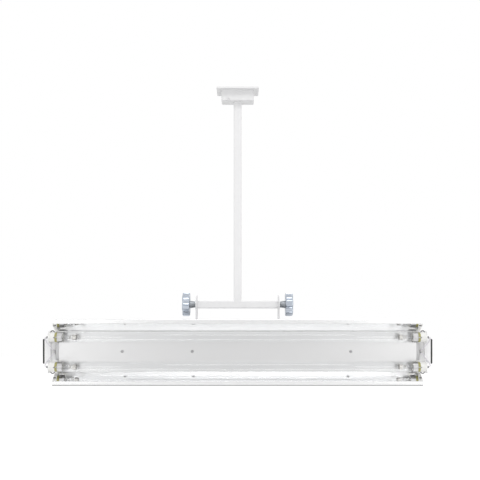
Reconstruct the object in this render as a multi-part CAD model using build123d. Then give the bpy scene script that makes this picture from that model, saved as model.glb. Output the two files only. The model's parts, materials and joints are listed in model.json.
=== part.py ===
from build123d import *
import os
from math import cos, pi, radians, sin, tan

os.makedirs("parts", exist_ok=True)

# A ceiling-hung germicidal light fixture, in millimetres. +Z is up, X runs along the lamps and
# the open face of the trough looks towards -Y. The origin is the centre of the ceiling plate's
# top face, which is the face that meets the ceiling.

# Ceiling plate and canopy
FIXING_SPACING_X = 94.0
FIXING_SPACING_Y = 62.0
FIXING_HOLE = 5.5
FIXING_MARGIN_X = 6.0
FIXING_MARGIN_Y = 7.0
PLATE_THICKNESS = 4.0
PLATE_CORNER = 4.0
CANOPY_LENGTH = 82.0
CANOPY_DEPTH = 47.0
CANOPY_HEIGHT = 27.0
CANOPY_WALL = 1.5
CANOPY_CORNER = 4.0
CANOPY_EDGE = 2.5
TAB_WIDTH = 16.0
TAB_THICKNESS = 3.0
TAB_END_GAP = 1.5
CANOPY_SCREW_OFFSET = 23.0
CANOPY_SCREW_RISE = 5.0
CANOPY_SCREW = 4.0
CANOPY_SCREW_TAIL = 2.0

# Drop stem and crossbar, both of square tube
TUBE_SIZE = 20.0
TUBE_WALL = 2.0
TUBE_CORNER = 3.0
STEM_DROP = 505.5
STEM_TOP_GAP = 2.0
MITRE_FIT = 0.15
CROSSBAR_LENGTH = 206.0
PLUG_LENGTH = 24.0
PLUG_FIT = 0.1

# Yoke ears and their clamping knobs
FIXTURE_DROP = 117.5
EAR_THICKNESS = 3.0
EAR_WIDTH = 48.0
EAR_BEND = 2.0
FOOT_LENGTH = 34.0
FOOT_SCREW = 5.0
FOOT_SCREW_SPACING = 28.0
FOOT_SCREW_TAIL = 1.0
CLAMP_GAP = 0.2
STUD_DIAMETER = 10.0
STUD_FIT = 0.05
STUD_IN_PLUG = 17.0
STUD_IN_KNOB = 20.0
STUD_POINT = 1.0
EAR_HOLE_FIT = 0.25
WASHER_DIAMETER = 24.0
WASHER_THICKNESS = 1.5
WASHER_GAP = 0.1
HUB_DIAMETER = 20.0
HUB_NOSE = 16.0
HUB_LENGTH = 13.4
KNOB_DIAMETER = 60.0
KNOB_THICKNESS = 19.0
KNOB_LOBES = 6
FLUTE_RADIUS = 11.0
FLUTE_DEPTH = 5.0
KNOB_CHAMFER = 3.0
KNOB_TURN = {"left": 12.0, "right": 38.0}

# Gear housing behind the reflector
HOUSING_END_GAP = 0.5
HOUSING_HEIGHT = 62.0
HOUSING_DEPTH = 60.0
HOUSING_SHEET = 1.2
HOUSING_BEND = 2.4
HOUSING_LIP = 12.0
END_CAP_THICKNESS = 4.5
END_CAP_SKIRT = 8.0
END_CAP_SKIRT_WALL = 2.0
END_CAP_FIT = 0.2
END_CAP_CHAMFER = 1.0

# Reflector
REFLECTOR_SHEET = 1.0
REFLECTOR_BEND = 1.0
BACK_OVERRUN = 1.5
BACK_EDGE_GAP = 1.0
FLARE_OVERRUN = 11.0
FLARE_DEPTH = 30.0
FLARE_RISE = 20.0
LIP_HEIGHT = 10.3
HEM_DEPTH = 8.0
HEM_RETURN = 4.0
WING_EDGE_GAP = 2.5
WING_END_GAP = 0.7
END_TAB_GAP = 4.0
END_TAB_REACH = 6.0
REFLECTOR_SCREW = 4.0
REFLECTOR_SCREW_TAIL = 4.0
REFLECTOR_SCREW_PLACES = (-290.0, -114.0, 284.0)
STRAP_WIDTH = 24.0
STRAP_SHEET = 2.0
STRAP_SLOPE = 2.0
STRAP_MOUTH_GAP = 2.0
STRAP_END_GAP = 0.3

# Lamps: tubular, two pins at each end
LAMP_FACE_SPAN = 895.0
LAMP_SPACING = 74.0
LAMP_STANDOFF = 17.0
LAMP_CAP_DIAMETER = 26.0
LAMP_CAP_LENGTH = 13.0
LAMP_CAP_WALL = 0.6
GLASS_STEP = 0.2
GLASS_WALL = 0.9
GLASS_NECK_FIT = 0.2
GLASS_SHOULDER_GAP = 1.0
GLASS_END_INSET = 2.5
PIN_SPACING = 12.7
PIN_DIAMETER = 2.35
PIN_LENGTH = 7.1
PIN_END_GAP = 0.9
STEM_FLARE = 1.5
STEM_CONE = 8.0
STEM_PRESS_RADIUS = 3.5
STEM_LENGTH = 27.0
ELECTRODE_REACH = 12.0
ELECTRODE_WIRE = 0.8
ELECTRODE_SPACING = 9.0
WIRE_SPACING = 6.6
FILAMENT_DIAMETER = 1.6
SHIELD_DIAMETER = 13.0
SHIELD_WALL = 0.5
SHIELD_LENGTH = 8.5

# Lampholders and the brackets that carry them
COLLAR_GAP = 0.3
COLLAR_LENGTH = 5.5
COLLAR_DIAMETER = 24.0
ROTOR_DIAMETER = 19.6
ROTOR_FIT = 0.1
ROTOR_END_GAP = 0.2
ROTOR_SLOT = 2.8
ENTRY_SLOT = 3.2
HOLDER_LENGTH = 14.9
HOLDER_WIDTH = 24.0
HOLDER_FLANK_GAP = 2.5
CONTACT_GROOVE_WIDTH = 3.6
HOLDER_SCREW = 3.0
HOLDER_SCREW_SPACING = 15.0
HOLDER_SCREW_DEPTH = 7.0
HOLDER_SCREW_END_GAP = 1.0
HOLDER_FOOT_TO_SCREW = 7.0
BRACKET_END_GAP = 1.0
BRACKET_SHOULDER = 7.3
BRACKET_CHAMFER = 3.0
BRACKET_TONGUE = 8.0
BRACKET_TONGUE_EDGE_GAP = 0.5
BRACKET_SHEET = 1.5
BRACKET_SCREW = 4.0
BRACKET_SCREW_TAIL = 4.0
BRACKET_SCREW_OFFSET = 5.3
BRACKET_RIB = 7.0
BRACKET_NOTCH_TO_LAMP = 13.0
BRACKET_ROUND = 5.0
BOOT_DIAMETER = 5.8
BOOT_LENGTH = 5.0
GROMMET_EDGE_GAP = 1.5
GROMMET_HOLE = 12.0
GROMMET_LIP = 1.2
GROMMET_RIM = 1.4
LEAD_DIAMETER = 2.2
LEAD_BEND = 4.0
LEAD_PITCH = 3.2
LEAD_SEAT = 0.5
LEAD_ELBOW_IN = 5.0
LEAD_ELBOW_BACK = 3.0
LEAD_TURN = 4.0
LEAD_TURN_BACK = 6.0
LEAD_TAIL = 4.0
SHUNT_REACH = 4.0
SHUNT_SPAN = 9.0
SHUNT_SEAT = 1.5
SHUNT_Y = 2.0

# Control gear inside the housing
BALLAST_LENGTH = 230.0
BALLAST_WIDTH = 40.0
BALLAST_HEIGHT = 28.0
BALLAST_SHEET = 0.8
BALLAST_PLACE = -60.0
BALLAST_FLANGE = 12.0
BALLAST_SCREW = 4.0
BOARD_THICKNESS = 1.6
BOARD_STANDOFF = 4.0
CHOKE_HEIGHT = 16.0
SINK_HEIGHT = 12.0
CAPACITOR_HEIGHT = 18.0
CAPACITOR_DIAMETER = 16.0
BALLAST_CHAMFER = 1.0
TERMINAL_LENGTH = 50.0
TERMINAL_WIDTH = 18.0
TERMINAL_HEIGHT = 16.0
TERMINAL_WAYS = 5
TERMINAL_HOLE = 4.0
TERMINAL_STEP = 4.0
TERMINAL_SCREW_DEPTH = 5.0
TERMINAL_TO_GLAND = 90.0
EARTH_TO_GLAND = 45.0
EARTH_STUD = 4.0
EARTH_STUD_LENGTH = 12.0

# Cable entry in the back of the housing
GLAND_FROM_END = 105.5
GLAND_THREAD = 20.0
GLAND_FIT = 0.2
GLAND_STUB = 9.0
GLAND_HEX = 24.0
GLAND_FLANGE = 6.0
GLAND_NECK = 18.0
GLAND_NECK_LENGTH = 10.0
GLAND_BORE = 12.0
SEAL_DIAMETER = 15.0
SEAL_LENGTH = 8.0
CABLE_BORE = 10.0
GLAND_CAP_LENGTH = 14.0
GLAND_CAP_WALL = 3.0
LOCK_NUT = 5.0

# Fastener proportions, as shares of the thread diameter
HEAD_WIDTH = 1.9
HEAD_HEIGHT = 0.6
HEAD_DOME = 0.6
NUT_WIDTH = 1.7
NUT_HEIGHT = 0.8
SCREW_HOLE_FIT = 0.1

# Derived sizes and places
PLATE_LENGTH = FIXING_SPACING_X + 2 * FIXING_MARGIN_X
PLATE_DEPTH = FIXING_SPACING_Y + 2 * FIXING_MARGIN_Y
CANOPY_BOTTOM = -(PLATE_THICKNESS + CANOPY_HEIGHT)
CROSSBAR_TOP = CANOPY_BOTTOM - STEM_DROP
TILT_AXIS = CROSSBAR_TOP - TUBE_SIZE / 2
CENTRE = TILT_AXIS - FIXTURE_DROP
HOUSING_TOP = CENTRE + HOUSING_HEIGHT / 2
HOUSING_FRONT = -HOUSING_DEPTH / 2
HOUSING_BACK = HOUSING_DEPTH / 2
BACK_FACE = HOUSING_FRONT - 2 * REFLECTOR_SHEET
LAMP_Y = BACK_FACE - LAMP_STANDOFF
LAMP_HALF = LAMP_FACE_SPAN / 2
GLASS_DIAMETER = LAMP_CAP_DIAMETER - 2 * GLASS_STEP
GLASS_NECK = LAMP_CAP_DIAMETER - 2 * (LAMP_CAP_WALL + GLASS_NECK_FIT)
EAR_INNER = CROSSBAR_LENGTH / 2 + CLAMP_GAP
EAR_OUTER = EAR_INNER + EAR_THICKNESS
WASHER_FACE = EAR_OUTER + CLAMP_GAP
HUB_FACE = WASHER_FACE + WASHER_THICKNESS + WASHER_GAP
KNOB_FACE = HUB_FACE + HUB_LENGTH
COLLAR_FACE = LAMP_HALF + COLLAR_GAP
HOLDER_FACE = COLLAR_FACE + COLLAR_LENGTH
CONTACT_GROOVE_DEPTH = LAMP_HALF + PIN_LENGTH + PIN_END_GAP - HOLDER_FACE
LEG_FACE = HOLDER_FACE + HOLDER_LENGTH
LEG_OUTER = LEG_FACE + BRACKET_SHEET
HOUSING_MOUTH = HOUSING_HEIGHT - 2 * HOUSING_LIP
FLARE_ROOT_HEIGHT = LAMP_SPACING + HOLDER_WIDTH + 2 * HOLDER_FLANK_GAP
BACK_HEIGHT = FLARE_ROOT_HEIGHT - 2 * BACK_EDGE_GAP
BACK_LENGTH = 2 * (LAMP_HALF + BACK_OVERRUN)
REFLECTOR_LENGTH = 2 * (LAMP_HALF + FLARE_OVERRUN)
WING_FLANGE = FLARE_ROOT_HEIGHT / 2 - HOUSING_MOUTH / 2 - WING_EDGE_GAP
END_TAB_HEIGHT = LAMP_SPACING - HOLDER_WIDTH - 2 * END_TAB_GAP
STRAP_CROWN = HOUSING_MOUTH - 2 * (STRAP_SLOPE + STRAP_MOUTH_GAP)
BRACKET_INNER = BACK_LENGTH / 2 + BRACKET_END_GAP
BRACKET_OUTER = LEG_OUTER + BRACKET_SHOULDER
BRACKET_TONGUE_OUTER = BRACKET_OUTER + BRACKET_TONGUE
BRACKET_HEIGHT = FLARE_ROOT_HEIGHT
BRACKET_TONGUE_HEIGHT = HOUSING_HEIGHT - 2 * BRACKET_TONGUE_EDGE_GAP
BRACKET_SCREW_PLACE = LEG_OUTER + BRACKET_SCREW_OFFSET
BRACKET_NOTCH = LAMP_SPACING - 2 * BRACKET_NOTCH_TO_LAMP
BRACKET_FRONT = HOUSING_FRONT - BRACKET_SHEET
GROMMET_PLACE = BRACKET_INNER + GROMMET_EDGE_GAP + GROMMET_RIM + GROMMET_HOLE / 2
HOLDER_TOP = LAMP_Y - HOLDER_WIDTH / 2
HOUSING_LENGTH = 2 * (BRACKET_TONGUE_OUTER + HOUSING_END_GAP)
GLAND_PLACE = HOUSING_LENGTH / 2 - GLAND_FROM_END
TERMINAL_PLACE = GLAND_PLACE - TERMINAL_TO_GLAND
EARTH_PLACE = GLAND_PLACE - EARTH_TO_GLAND
SIDES = {"left": -1, "right": 1}
LEVELS = {"upper": CENTRE + LAMP_SPACING / 2, "lower": CENTRE - LAMP_SPACING / 2}


def rod_x(radius, start, end, y, z):
    """A round bar along X."""
    low, high = min(start, end), max(start, end)
    return Pos((low + high) / 2, y, z) * Rot(0, 90, 0) * Cylinder(radius, high - low)


def rod_y(radius, start, end, x, z):
    """A round bar along Y."""
    low, high = min(start, end), max(start, end)
    return Pos(x, (low + high) / 2, z) * Rot(90, 0, 0) * Cylinder(radius, high - low)


def rod_z(radius, start, end, x, y):
    """A round bar along Z."""
    low, high = min(start, end), max(start, end)
    return Pos(x, y, (low + high) / 2) * Cylinder(radius, high - low)


def block(x, y, z):
    """A block between two limits on each axis."""
    size = [max(pair) - min(pair) for pair in (x, y, z)]
    middle = [sum(pair) / 2 for pair in (x, y, z)]
    return Pos(*middle) * Box(*size)


def hex_y(across_flats, start, end, x, z):
    """A hexagonal prism along Y."""
    outline = RegularPolygon(across_flats / 2, 6, major_radius=False)
    prism = extrude(Plane.XZ * outline, amount=abs(end - start))
    return Pos(x, max(start, end), z) * prism


def folded(points, thickness, bend, plane, reach):
    """Sheet metal: a bent line given thickness, then drawn out by reach to both sides of a plane."""
    line = FilletPolyline(*points, radius=bend + thickness / 2)
    return extrude(plane * trace(line, line_width=thickness), amount=reach, both=True)


def square_tube():
    """The section that the stem and the crossbar are cut from."""
    inner = TUBE_SIZE - 2 * TUBE_WALL
    outline = RectangleRounded(TUBE_SIZE, TUBE_SIZE, TUBE_CORNER)
    return outline - RectangleRounded(inner, inner, TUBE_CORNER - TUBE_WALL)


def pan_screw(diameter, length):
    """A domed screw standing on its shank: the head's seat is at z = 0 and the shank goes down."""
    head_radius = diameter * HEAD_WIDTH / 2
    head_height = diameter * HEAD_HEIGHT
    head = Pos(0, 0, head_height / 2) * Cylinder(head_radius, head_height)
    head = chamfer(head.edges().group_by(Axis.Z)[-1], head_height * HEAD_DOME)
    return head + Pos(0, 0, -length / 2) * Cylinder(diameter / 2, length)


def nut(diameter):
    """A plain hexagon nut whose top face is at z = 0."""
    height = diameter * NUT_HEIGHT
    body = extrude(RegularPolygon(diameter * NUT_WIDTH / 2, 6, major_radius=False), amount=-height)
    return body - Pos(0, 0, -height / 2) * Cylinder(diameter / 2 + SCREW_HOLE_FIT / 2, height)


def mirrored_pair(solid):
    """A solid and its mirror image on the other side of x = 0, as separate solids."""
    return Compound(children=[solid, mirror(solid, about=Plane.YZ)])


def on_side(solid, side):
    """A piece modelled on the right, or its mirror image for the left."""
    return solid if side == "right" else mirror(solid, about=Plane.YZ)


def canopy_screw_places():
    """Where the two canopy screws go in, as (x, wall face y, direction of the head)."""
    front = (-CANOPY_SCREW_OFFSET, -CANOPY_DEPTH / 2, -1)
    back = (CANOPY_SCREW_OFFSET, CANOPY_DEPTH / 2, 1)
    return front, back


CANOPY_SCREW_Z = CANOPY_BOTTOM + CANOPY_SCREW_RISE


def ceiling_plate():
    """Flat steel plate with four corner holes and two tabs that the canopy is screwed to."""
    plate = extrude(RectangleRounded(PLATE_LENGTH, PLATE_DEPTH, PLATE_CORNER), amount=-PLATE_THICKNESS)
    for x in (-FIXING_SPACING_X / 2, FIXING_SPACING_X / 2):
        for y in (-FIXING_SPACING_Y / 2, FIXING_SPACING_Y / 2):
            plate -= rod_z(FIXING_HOLE / 2, -PLATE_THICKNESS, 0, x, y)
    tab_bottom = CANOPY_BOTTOM + CANOPY_WALL + TAB_END_GAP
    for x, wall, way in canopy_screw_places():
        face = wall - way * CANOPY_WALL
        sides = (x - TAB_WIDTH / 2, x + TAB_WIDTH / 2)
        plate += block(sides, (face, face - way * TAB_THICKNESS), (tab_bottom, -PLATE_THICKNESS))
        hole_end = face - way * TAB_THICKNESS
        plate -= rod_y(CANOPY_SCREW / 2 + SCREW_HOLE_FIT, face, hole_end, x, CANOPY_SCREW_Z)
    return plate


def canopy_box():
    """Folded box, open at the top, whose floor carries the stem."""
    outline = RectangleRounded(CANOPY_LENGTH, CANOPY_DEPTH, CANOPY_CORNER)
    box = Pos(0, 0, CANOPY_BOTTOM) * extrude(outline, amount=CANOPY_HEIGHT)
    box = fillet(box.edges().group_by(Axis.Z)[0], CANOPY_EDGE)
    hollow = RectangleRounded(
        CANOPY_LENGTH - 2 * CANOPY_WALL, CANOPY_DEPTH - 2 * CANOPY_WALL, CANOPY_CORNER - CANOPY_WALL
    )
    inside = Pos(0, 0, CANOPY_BOTTOM + CANOPY_WALL) * extrude(hollow, amount=CANOPY_HEIGHT)
    box -= fillet(inside.edges().group_by(Axis.Z)[0], CANOPY_EDGE - CANOPY_WALL)
    box -= Pos(0, 0, CANOPY_BOTTOM) * extrude(
        RectangleRounded(TUBE_SIZE, TUBE_SIZE, TUBE_CORNER), amount=CANOPY_WALL
    )
    for x, wall, way in canopy_screw_places():
        inner = wall - way * CANOPY_WALL
        box -= rod_y(CANOPY_SCREW / 2 + SCREW_HOLE_FIT, wall, inner, x, CANOPY_SCREW_Z)
    return box


def canopy_screws():
    """The screw in the front face, low on the left, and its partner in the back face."""
    screw = pan_screw(CANOPY_SCREW, CANOPY_WALL + TAB_THICKNESS + CANOPY_SCREW_TAIL)
    screws = []
    for x, wall, way in canopy_screw_places():
        screws.append(Pos(x, wall, CANOPY_SCREW_Z) * Rot(-90 * way, 0, 0) * screw)
    return Compound(children=screws)


def drop_stem():
    """Square tube from inside the canopy down to the crossbar, its foot cut to the bar's round edges."""
    top = -(PLATE_THICKNESS + STEM_TOP_GAP)
    foot = CROSSBAR_TOP - TUBE_CORNER
    stem = Pos(0, 0, foot) * extrude(square_tube(), amount=top - foot)
    bar = RectangleRounded(TUBE_SIZE, TUBE_SIZE, TUBE_CORNER - MITRE_FIT)
    return stem - Pos(0, 0, TILT_AXIS) * extrude(Plane.YZ * bar, amount=TUBE_SIZE, both=True)


def crossbar():
    """Square tube across the bottom of the stem."""
    return Pos(0, 0, TILT_AXIS) * extrude(Plane.YZ * square_tube(), amount=CROSSBAR_LENGTH / 2, both=True)


def end_plug():
    """Tapped block in the crossbar's right end, which the clamping stud screws into."""
    size = TUBE_SIZE - 2 * TUBE_WALL - 2 * PLUG_FIT
    outline = RectangleRounded(size, size, TUBE_CORNER - TUBE_WALL)
    outline -= Circle(STUD_DIAMETER / 2 + STUD_FIT)
    start = CROSSBAR_LENGTH / 2 - PLUG_LENGTH
    return Pos(start, 0, TILT_AXIS) * extrude(Plane.YZ * outline, amount=PLUG_LENGTH)


def foot_screw_places():
    """The two foot screws of the right ear, as (x, y)."""
    x = EAR_OUTER + (FOOT_LENGTH - EAR_THICKNESS) / 2
    return [(x, -FOOT_SCREW_SPACING / 2), (x, FOOT_SCREW_SPACING / 2)]


def yoke_ear():
    """Right ear: a bent strap, rounded at the top about the tilt axis, with its foot on the housing."""
    half = EAR_THICKNESS / 2
    round_top = EAR_WIDTH / 2
    points = [
        (EAR_INNER + FOOT_LENGTH, HOUSING_TOP + half),
        (EAR_INNER + half, HOUSING_TOP + half),
        (EAR_INNER + half, TILT_AXIS + round_top),
    ]
    strap = folded(points, EAR_THICKNESS, EAR_BEND, Plane.XZ, EAR_WIDTH / 2)
    far = EAR_INNER + FOOT_LENGTH
    below = block((0, far), (-round_top, round_top), (HOUSING_TOP, TILT_AXIS))
    strap &= below + rod_x(round_top, 0, far, 0, TILT_AXIS)
    strap -= rod_x(STUD_DIAMETER / 2 + EAR_HOLE_FIT, EAR_INNER, EAR_OUTER, 0, TILT_AXIS)
    for x, y in foot_screw_places():
        strap -= rod_z(FOOT_SCREW / 2 + SCREW_HOLE_FIT, HOUSING_TOP, HOUSING_TOP + EAR_THICKNESS, x, y)
    return strap


def ear_screws():
    """Four screws down through the ears' feet."""
    length = EAR_THICKNESS + HOUSING_SHEET + FOOT_SCREW * NUT_HEIGHT + FOOT_SCREW_TAIL
    screw = pan_screw(FOOT_SCREW, length)
    seat = HOUSING_TOP + EAR_THICKNESS
    places = [(side * x, y) for side in SIDES.values() for x, y in foot_screw_places()]
    return Compound(children=[Pos(x, y, seat) * screw for x, y in places])


def ear_nuts():
    """Their nuts, under the housing's top wall."""
    seat = HOUSING_TOP - HOUSING_SHEET
    places = [(side * x, y) for side in SIDES.values() for x, y in foot_screw_places()]
    return Compound(children=[Pos(x, y, seat) * nut(FOOT_SCREW) for x, y in places])


def clamp_washer():
    """Right washer, between the ear and the knob."""
    washer = rod_x(WASHER_DIAMETER / 2, WASHER_FACE, WASHER_FACE + WASHER_THICKNESS, 0, TILT_AXIS)
    bore = STUD_DIAMETER / 2 + STUD_FIT
    return washer - rod_x(bore, WASHER_FACE, WASHER_FACE + WASHER_THICKNESS, 0, TILT_AXIS)


def clamp_stud():
    """Right stud, fast in the knob and threaded into the crossbar's plug."""
    start = CROSSBAR_LENGTH / 2 - STUD_IN_PLUG
    stud = rod_x(STUD_DIAMETER / 2, start, HUB_FACE + STUD_IN_KNOB, 0, TILT_AXIS)
    return chamfer(stud.edges().group_by(Axis.X)[0], STUD_POINT)


def clamp_knob(turn):
    """Right star knob: a turned hub and a lobed head, cut from one piece, turned to a given angle."""
    head = Rot(0, 90, 0) * Pos(0, 0, KNOB_THICKNESS / 2) * Cylinder(KNOB_DIAMETER / 2, KNOB_THICKNESS)
    reach = KNOB_DIAMETER / 2 + FLUTE_RADIUS - FLUTE_DEPTH
    for lobe in range(KNOB_LOBES):
        angle = radians(turn + 360 * (lobe + 0.5) / KNOB_LOBES)
        head -= rod_x(FLUTE_RADIUS, 0, KNOB_THICKNESS, reach * sin(angle), reach * cos(angle))
    rims = head.edges().group_by(Axis.X)
    head = chamfer(rims[0] + rims[-1], KNOB_CHAMFER)
    hub = Pos(-HUB_LENGTH / 2, 0, 0) * Rot(0, 90, 0) * Cone(HUB_NOSE / 2, HUB_DIAMETER / 2, HUB_LENGTH)
    bore = rod_x(STUD_DIAMETER / 2, -HUB_LENGTH, STUD_IN_KNOB - HUB_LENGTH, 0, 0)
    return Pos(KNOB_FACE, 0, TILT_AXIS) * (head + hub - bore)


def ballast_screw_places():
    """The screws through the ballast's end flanges, as (x, z)."""
    reach = BALLAST_LENGTH / 2 + BALLAST_FLANGE / 2
    return [(BALLAST_PLACE - reach, CENTRE), (BALLAST_PLACE + reach, CENTRE)]


def housing_shell():
    """Channel folded from sheet, open towards the reflector, with a return lip along each edge."""
    inner_depth = HOUSING_DEPTH - 2 * HOUSING_SHEET
    inner_height = HOUSING_HEIGHT - 2 * HOUSING_SHEET
    section = RectangleRounded(HOUSING_DEPTH, HOUSING_HEIGHT, HOUSING_BEND)
    section -= RectangleRounded(inner_depth, inner_height, HOUSING_BEND - HOUSING_SHEET)
    section -= Pos(HOUSING_FRONT, 0) * Rectangle(2 * HOUSING_LIP, HOUSING_MOUTH)
    shell = Pos(0, 0, CENTRE) * extrude(Plane.YZ * section, amount=HOUSING_LENGTH / 2, both=True)
    inner_back = HOUSING_BACK - HOUSING_SHEET
    shell -= rod_y(GLAND_THREAD / 2 + GLAND_FIT, inner_back, HOUSING_BACK, GLAND_PLACE, CENTRE)
    for x, y in foot_screw_places():
        for side in SIDES.values():
            hole = FOOT_SCREW / 2 + SCREW_HOLE_FIT
            shell -= rod_z(hole, HOUSING_TOP - HOUSING_SHEET, HOUSING_TOP, side * x, y)
    for x, z in bracket_screw_places():
        hole = BRACKET_SCREW / 2 + SCREW_HOLE_FIT
        shell -= rod_y(hole, HOUSING_FRONT, HOUSING_FRONT + HOUSING_SHEET, x, z)
        shell -= rod_y(hole, HOUSING_FRONT, HOUSING_FRONT + HOUSING_SHEET, -x, z)
    return shell


def end_cap():
    """Right end cap: a moulded plate with a skirt that plugs into the housing."""
    end = HOUSING_LENGTH / 2
    plate = extrude(
        Plane.YZ * RectangleRounded(HOUSING_DEPTH, HOUSING_HEIGHT, HOUSING_BEND), amount=END_CAP_THICKNESS
    )
    plate = chamfer(plate.faces().sort_by(Axis.X)[-1].edges(), END_CAP_CHAMFER)
    depth = HOUSING_DEPTH - 2 * (HOUSING_SHEET + END_CAP_FIT)
    height = HOUSING_HEIGHT - 2 * (HOUSING_SHEET + END_CAP_FIT)
    skirt = RectangleRounded(depth, height, HOUSING_BEND)
    skirt -= RectangleRounded(
        depth - 2 * END_CAP_SKIRT_WALL, height - 2 * END_CAP_SKIRT_WALL, HOUSING_BEND / 2
    )
    return Pos(end, 0, CENTRE) * (plate + extrude(Plane.YZ * skirt, amount=-END_CAP_SKIRT))


def reflector_back():
    """Satin back sheet of the trough, with an end tab bent forward at 45 degrees at each end."""
    middle = HOUSING_FRONT - 1.5 * REFLECTOR_SHEET
    end = BACK_LENGTH / 2
    points = [
        (-end - END_TAB_REACH, middle - END_TAB_REACH),
        (-end, middle),
        (end, middle),
        (end + END_TAB_REACH, middle - END_TAB_REACH),
    ]
    tabbed = folded(points, REFLECTOR_SHEET, REFLECTOR_BEND, Plane.XY, END_TAB_HEIGHT / 2)
    # The sheet runs straight for one bend radius less than the tabbed strip does.
    straight = end - REFLECTOR_BEND
    faces = (BACK_FACE, BACK_FACE + REFLECTOR_SHEET)
    sheet = block((-straight, straight), faces, (-BACK_HEIGHT / 2, BACK_HEIGHT / 2))
    back = Pos(0, 0, CENTRE) * (tabbed + sheet)
    for x in REFLECTOR_SCREW_PLACES:
        hole = REFLECTOR_SCREW / 2 + SCREW_HOLE_FIT
        back -= rod_y(hole, BACK_FACE, BACK_FACE + REFLECTOR_SHEET, x, CENTRE)
    return back


def reflector_wing():
    """Upper wing: flange behind the back sheet, mirror flare, upright lip and a hem turned back and down."""
    y = HOUSING_FRONT - REFLECTOR_SHEET / 2
    root = FLARE_ROOT_HEIGHT / 2
    lip = root + FLARE_RISE
    rim = y - FLARE_DEPTH
    points = [
        (y, root - WING_FLANGE),
        (y, root),
        (rim, lip),
        (rim, lip + LIP_HEIGHT),
        (rim + HEM_DEPTH, lip + LIP_HEIGHT),
        (rim + HEM_DEPTH, lip + LIP_HEIGHT - HEM_RETURN),
    ]
    wing = folded(points, REFLECTOR_SHEET, REFLECTOR_BEND, Plane.YZ, REFLECTOR_LENGTH / 2)
    # Beyond the back sheet the flange stops short, to leave room for the lampholder bracket.
    cut_top = BRACKET_HEIGHT / 2 + WING_END_GAP
    cut_start = BRACKET_INNER - WING_END_GAP
    depth = (BRACKET_FRONT, 0)
    for side in SIDES.values():
        wing -= block((side * cut_start, side * REFLECTOR_LENGTH), depth, (0, cut_top))
    return Pos(0, 0, CENTRE) * wing


def reflector_screws():
    """The three screws on the trough's centre line."""
    screw = pan_screw(REFLECTOR_SCREW, REFLECTOR_SHEET + STRAP_SHEET + REFLECTOR_SCREW_TAIL)
    seats = [Pos(x, BACK_FACE, CENTRE) * Rot(90, 0, 0) * screw for x in REFLECTOR_SCREW_PLACES]
    return Compound(children=seats)


def bridge_straps():
    """Hat-shaped straps inside the housing's mouth, which the reflector screws pull on."""
    inner = HOUSING_FRONT + HOUSING_SHEET + STRAP_SHEET / 2
    crown = HOUSING_FRONT - REFLECTOR_SHEET + STRAP_SHEET / 2
    foot = HOUSING_HEIGHT / 2 - HOUSING_BEND - STRAP_END_GAP
    shoulder = STRAP_CROWN / 2 + STRAP_SLOPE
    points = [
        (inner, -foot),
        (inner, -shoulder),
        (crown, -STRAP_CROWN / 2),
        (crown, STRAP_CROWN / 2),
        (inner, shoulder),
        (inner, foot),
    ]
    strap = extrude(
        Plane.YZ * trace(Polyline(*points), line_width=STRAP_SHEET), amount=STRAP_WIDTH / 2, both=True
    )
    strap -= rod_y(REFLECTOR_SCREW / 2 + SCREW_HOLE_FIT, crown - STRAP_SHEET, crown + STRAP_SHEET, 0, 0)
    return Compound(children=[Pos(x, 0, CENTRE) * strap for x in REFLECTOR_SCREW_PLACES])


def bracket_screw_places():
    """The right bracket's two screws into the housing's return lips, as (x, z)."""
    z = HOUSING_HEIGHT / 2 - HOUSING_LIP / 2
    return [(BRACKET_SCREW_PLACE, CENTRE - z), (BRACKET_SCREW_PLACE, CENTRE + z)]


def holder_screw_places(level):
    """The two screws of one right holder, as (y, z)."""
    y = BRACKET_FRONT - HOLDER_FOOT_TO_SCREW
    return [(y, level - HOLDER_SCREW_SPACING / 2), (y, level + HOLDER_SCREW_SPACING / 2)]


def bracket_plate():
    """The right bracket's plate on the housing, with a tongue that covers the housing's open end."""
    width = BRACKET_OUTER - BRACKET_INNER
    plate = Pos(BRACKET_INNER + width / 2, 0) * Rectangle(width, BRACKET_HEIGHT)
    plate = chamfer(plate.vertices().group_by(Axis.X)[-1], BRACKET_CHAMFER)
    reach = BRACKET_TONGUE_OUTER - BRACKET_INNER
    plate += Pos(BRACKET_INNER + reach / 2, 0) * Rectangle(reach, BRACKET_TONGUE_HEIGHT)
    plate = Pos(0, HOUSING_FRONT, CENTRE) * extrude(Plane.XZ * plate, amount=BRACKET_SHEET)
    plate -= rod_y(GROMMET_HOLE / 2, BRACKET_FRONT, HOUSING_FRONT, GROMMET_PLACE, CENTRE)
    for x, z in bracket_screw_places():
        plate -= rod_y(BRACKET_SCREW / 2 + SCREW_HOLE_FIT, BRACKET_FRONT, HOUSING_FRONT, x, z)
    return plate


def lamp_bracket():
    """Right bracket: its plate and a leg standing forward that both holders sit against."""
    depth = BRACKET_FRONT - HOLDER_TOP
    outline = Pos(BRACKET_FRONT - depth / 2, 0) * Rectangle(depth, BRACKET_HEIGHT)
    outline = fillet(outline.vertices().group_by(Axis.X)[0], BRACKET_ROUND)
    # The notch is drawn to both sides of the leg's front edge, which leaves the rib behind it whole.
    notch = Pos(HOLDER_TOP, 0) * Rectangle(2 * (depth - BRACKET_RIB), BRACKET_NOTCH)
    outline -= fillet(notch.vertices().group_by(Axis.X)[-1], BRACKET_ROUND)
    leg = Pos(LEG_FACE, 0, CENTRE) * extrude(Plane.YZ * outline, amount=BRACKET_SHEET)
    for level in LEVELS.values():
        leg -= rod_x(BOOT_DIAMETER / 2, LEG_FACE, LEG_OUTER, LAMP_Y, level)
        for y, z in holder_screw_places(level):
            leg -= rod_x(HOLDER_SCREW / 2 + SCREW_HOLE_FIT, LEG_FACE, LEG_OUTER, y, z)
    return bracket_plate() + leg


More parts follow.
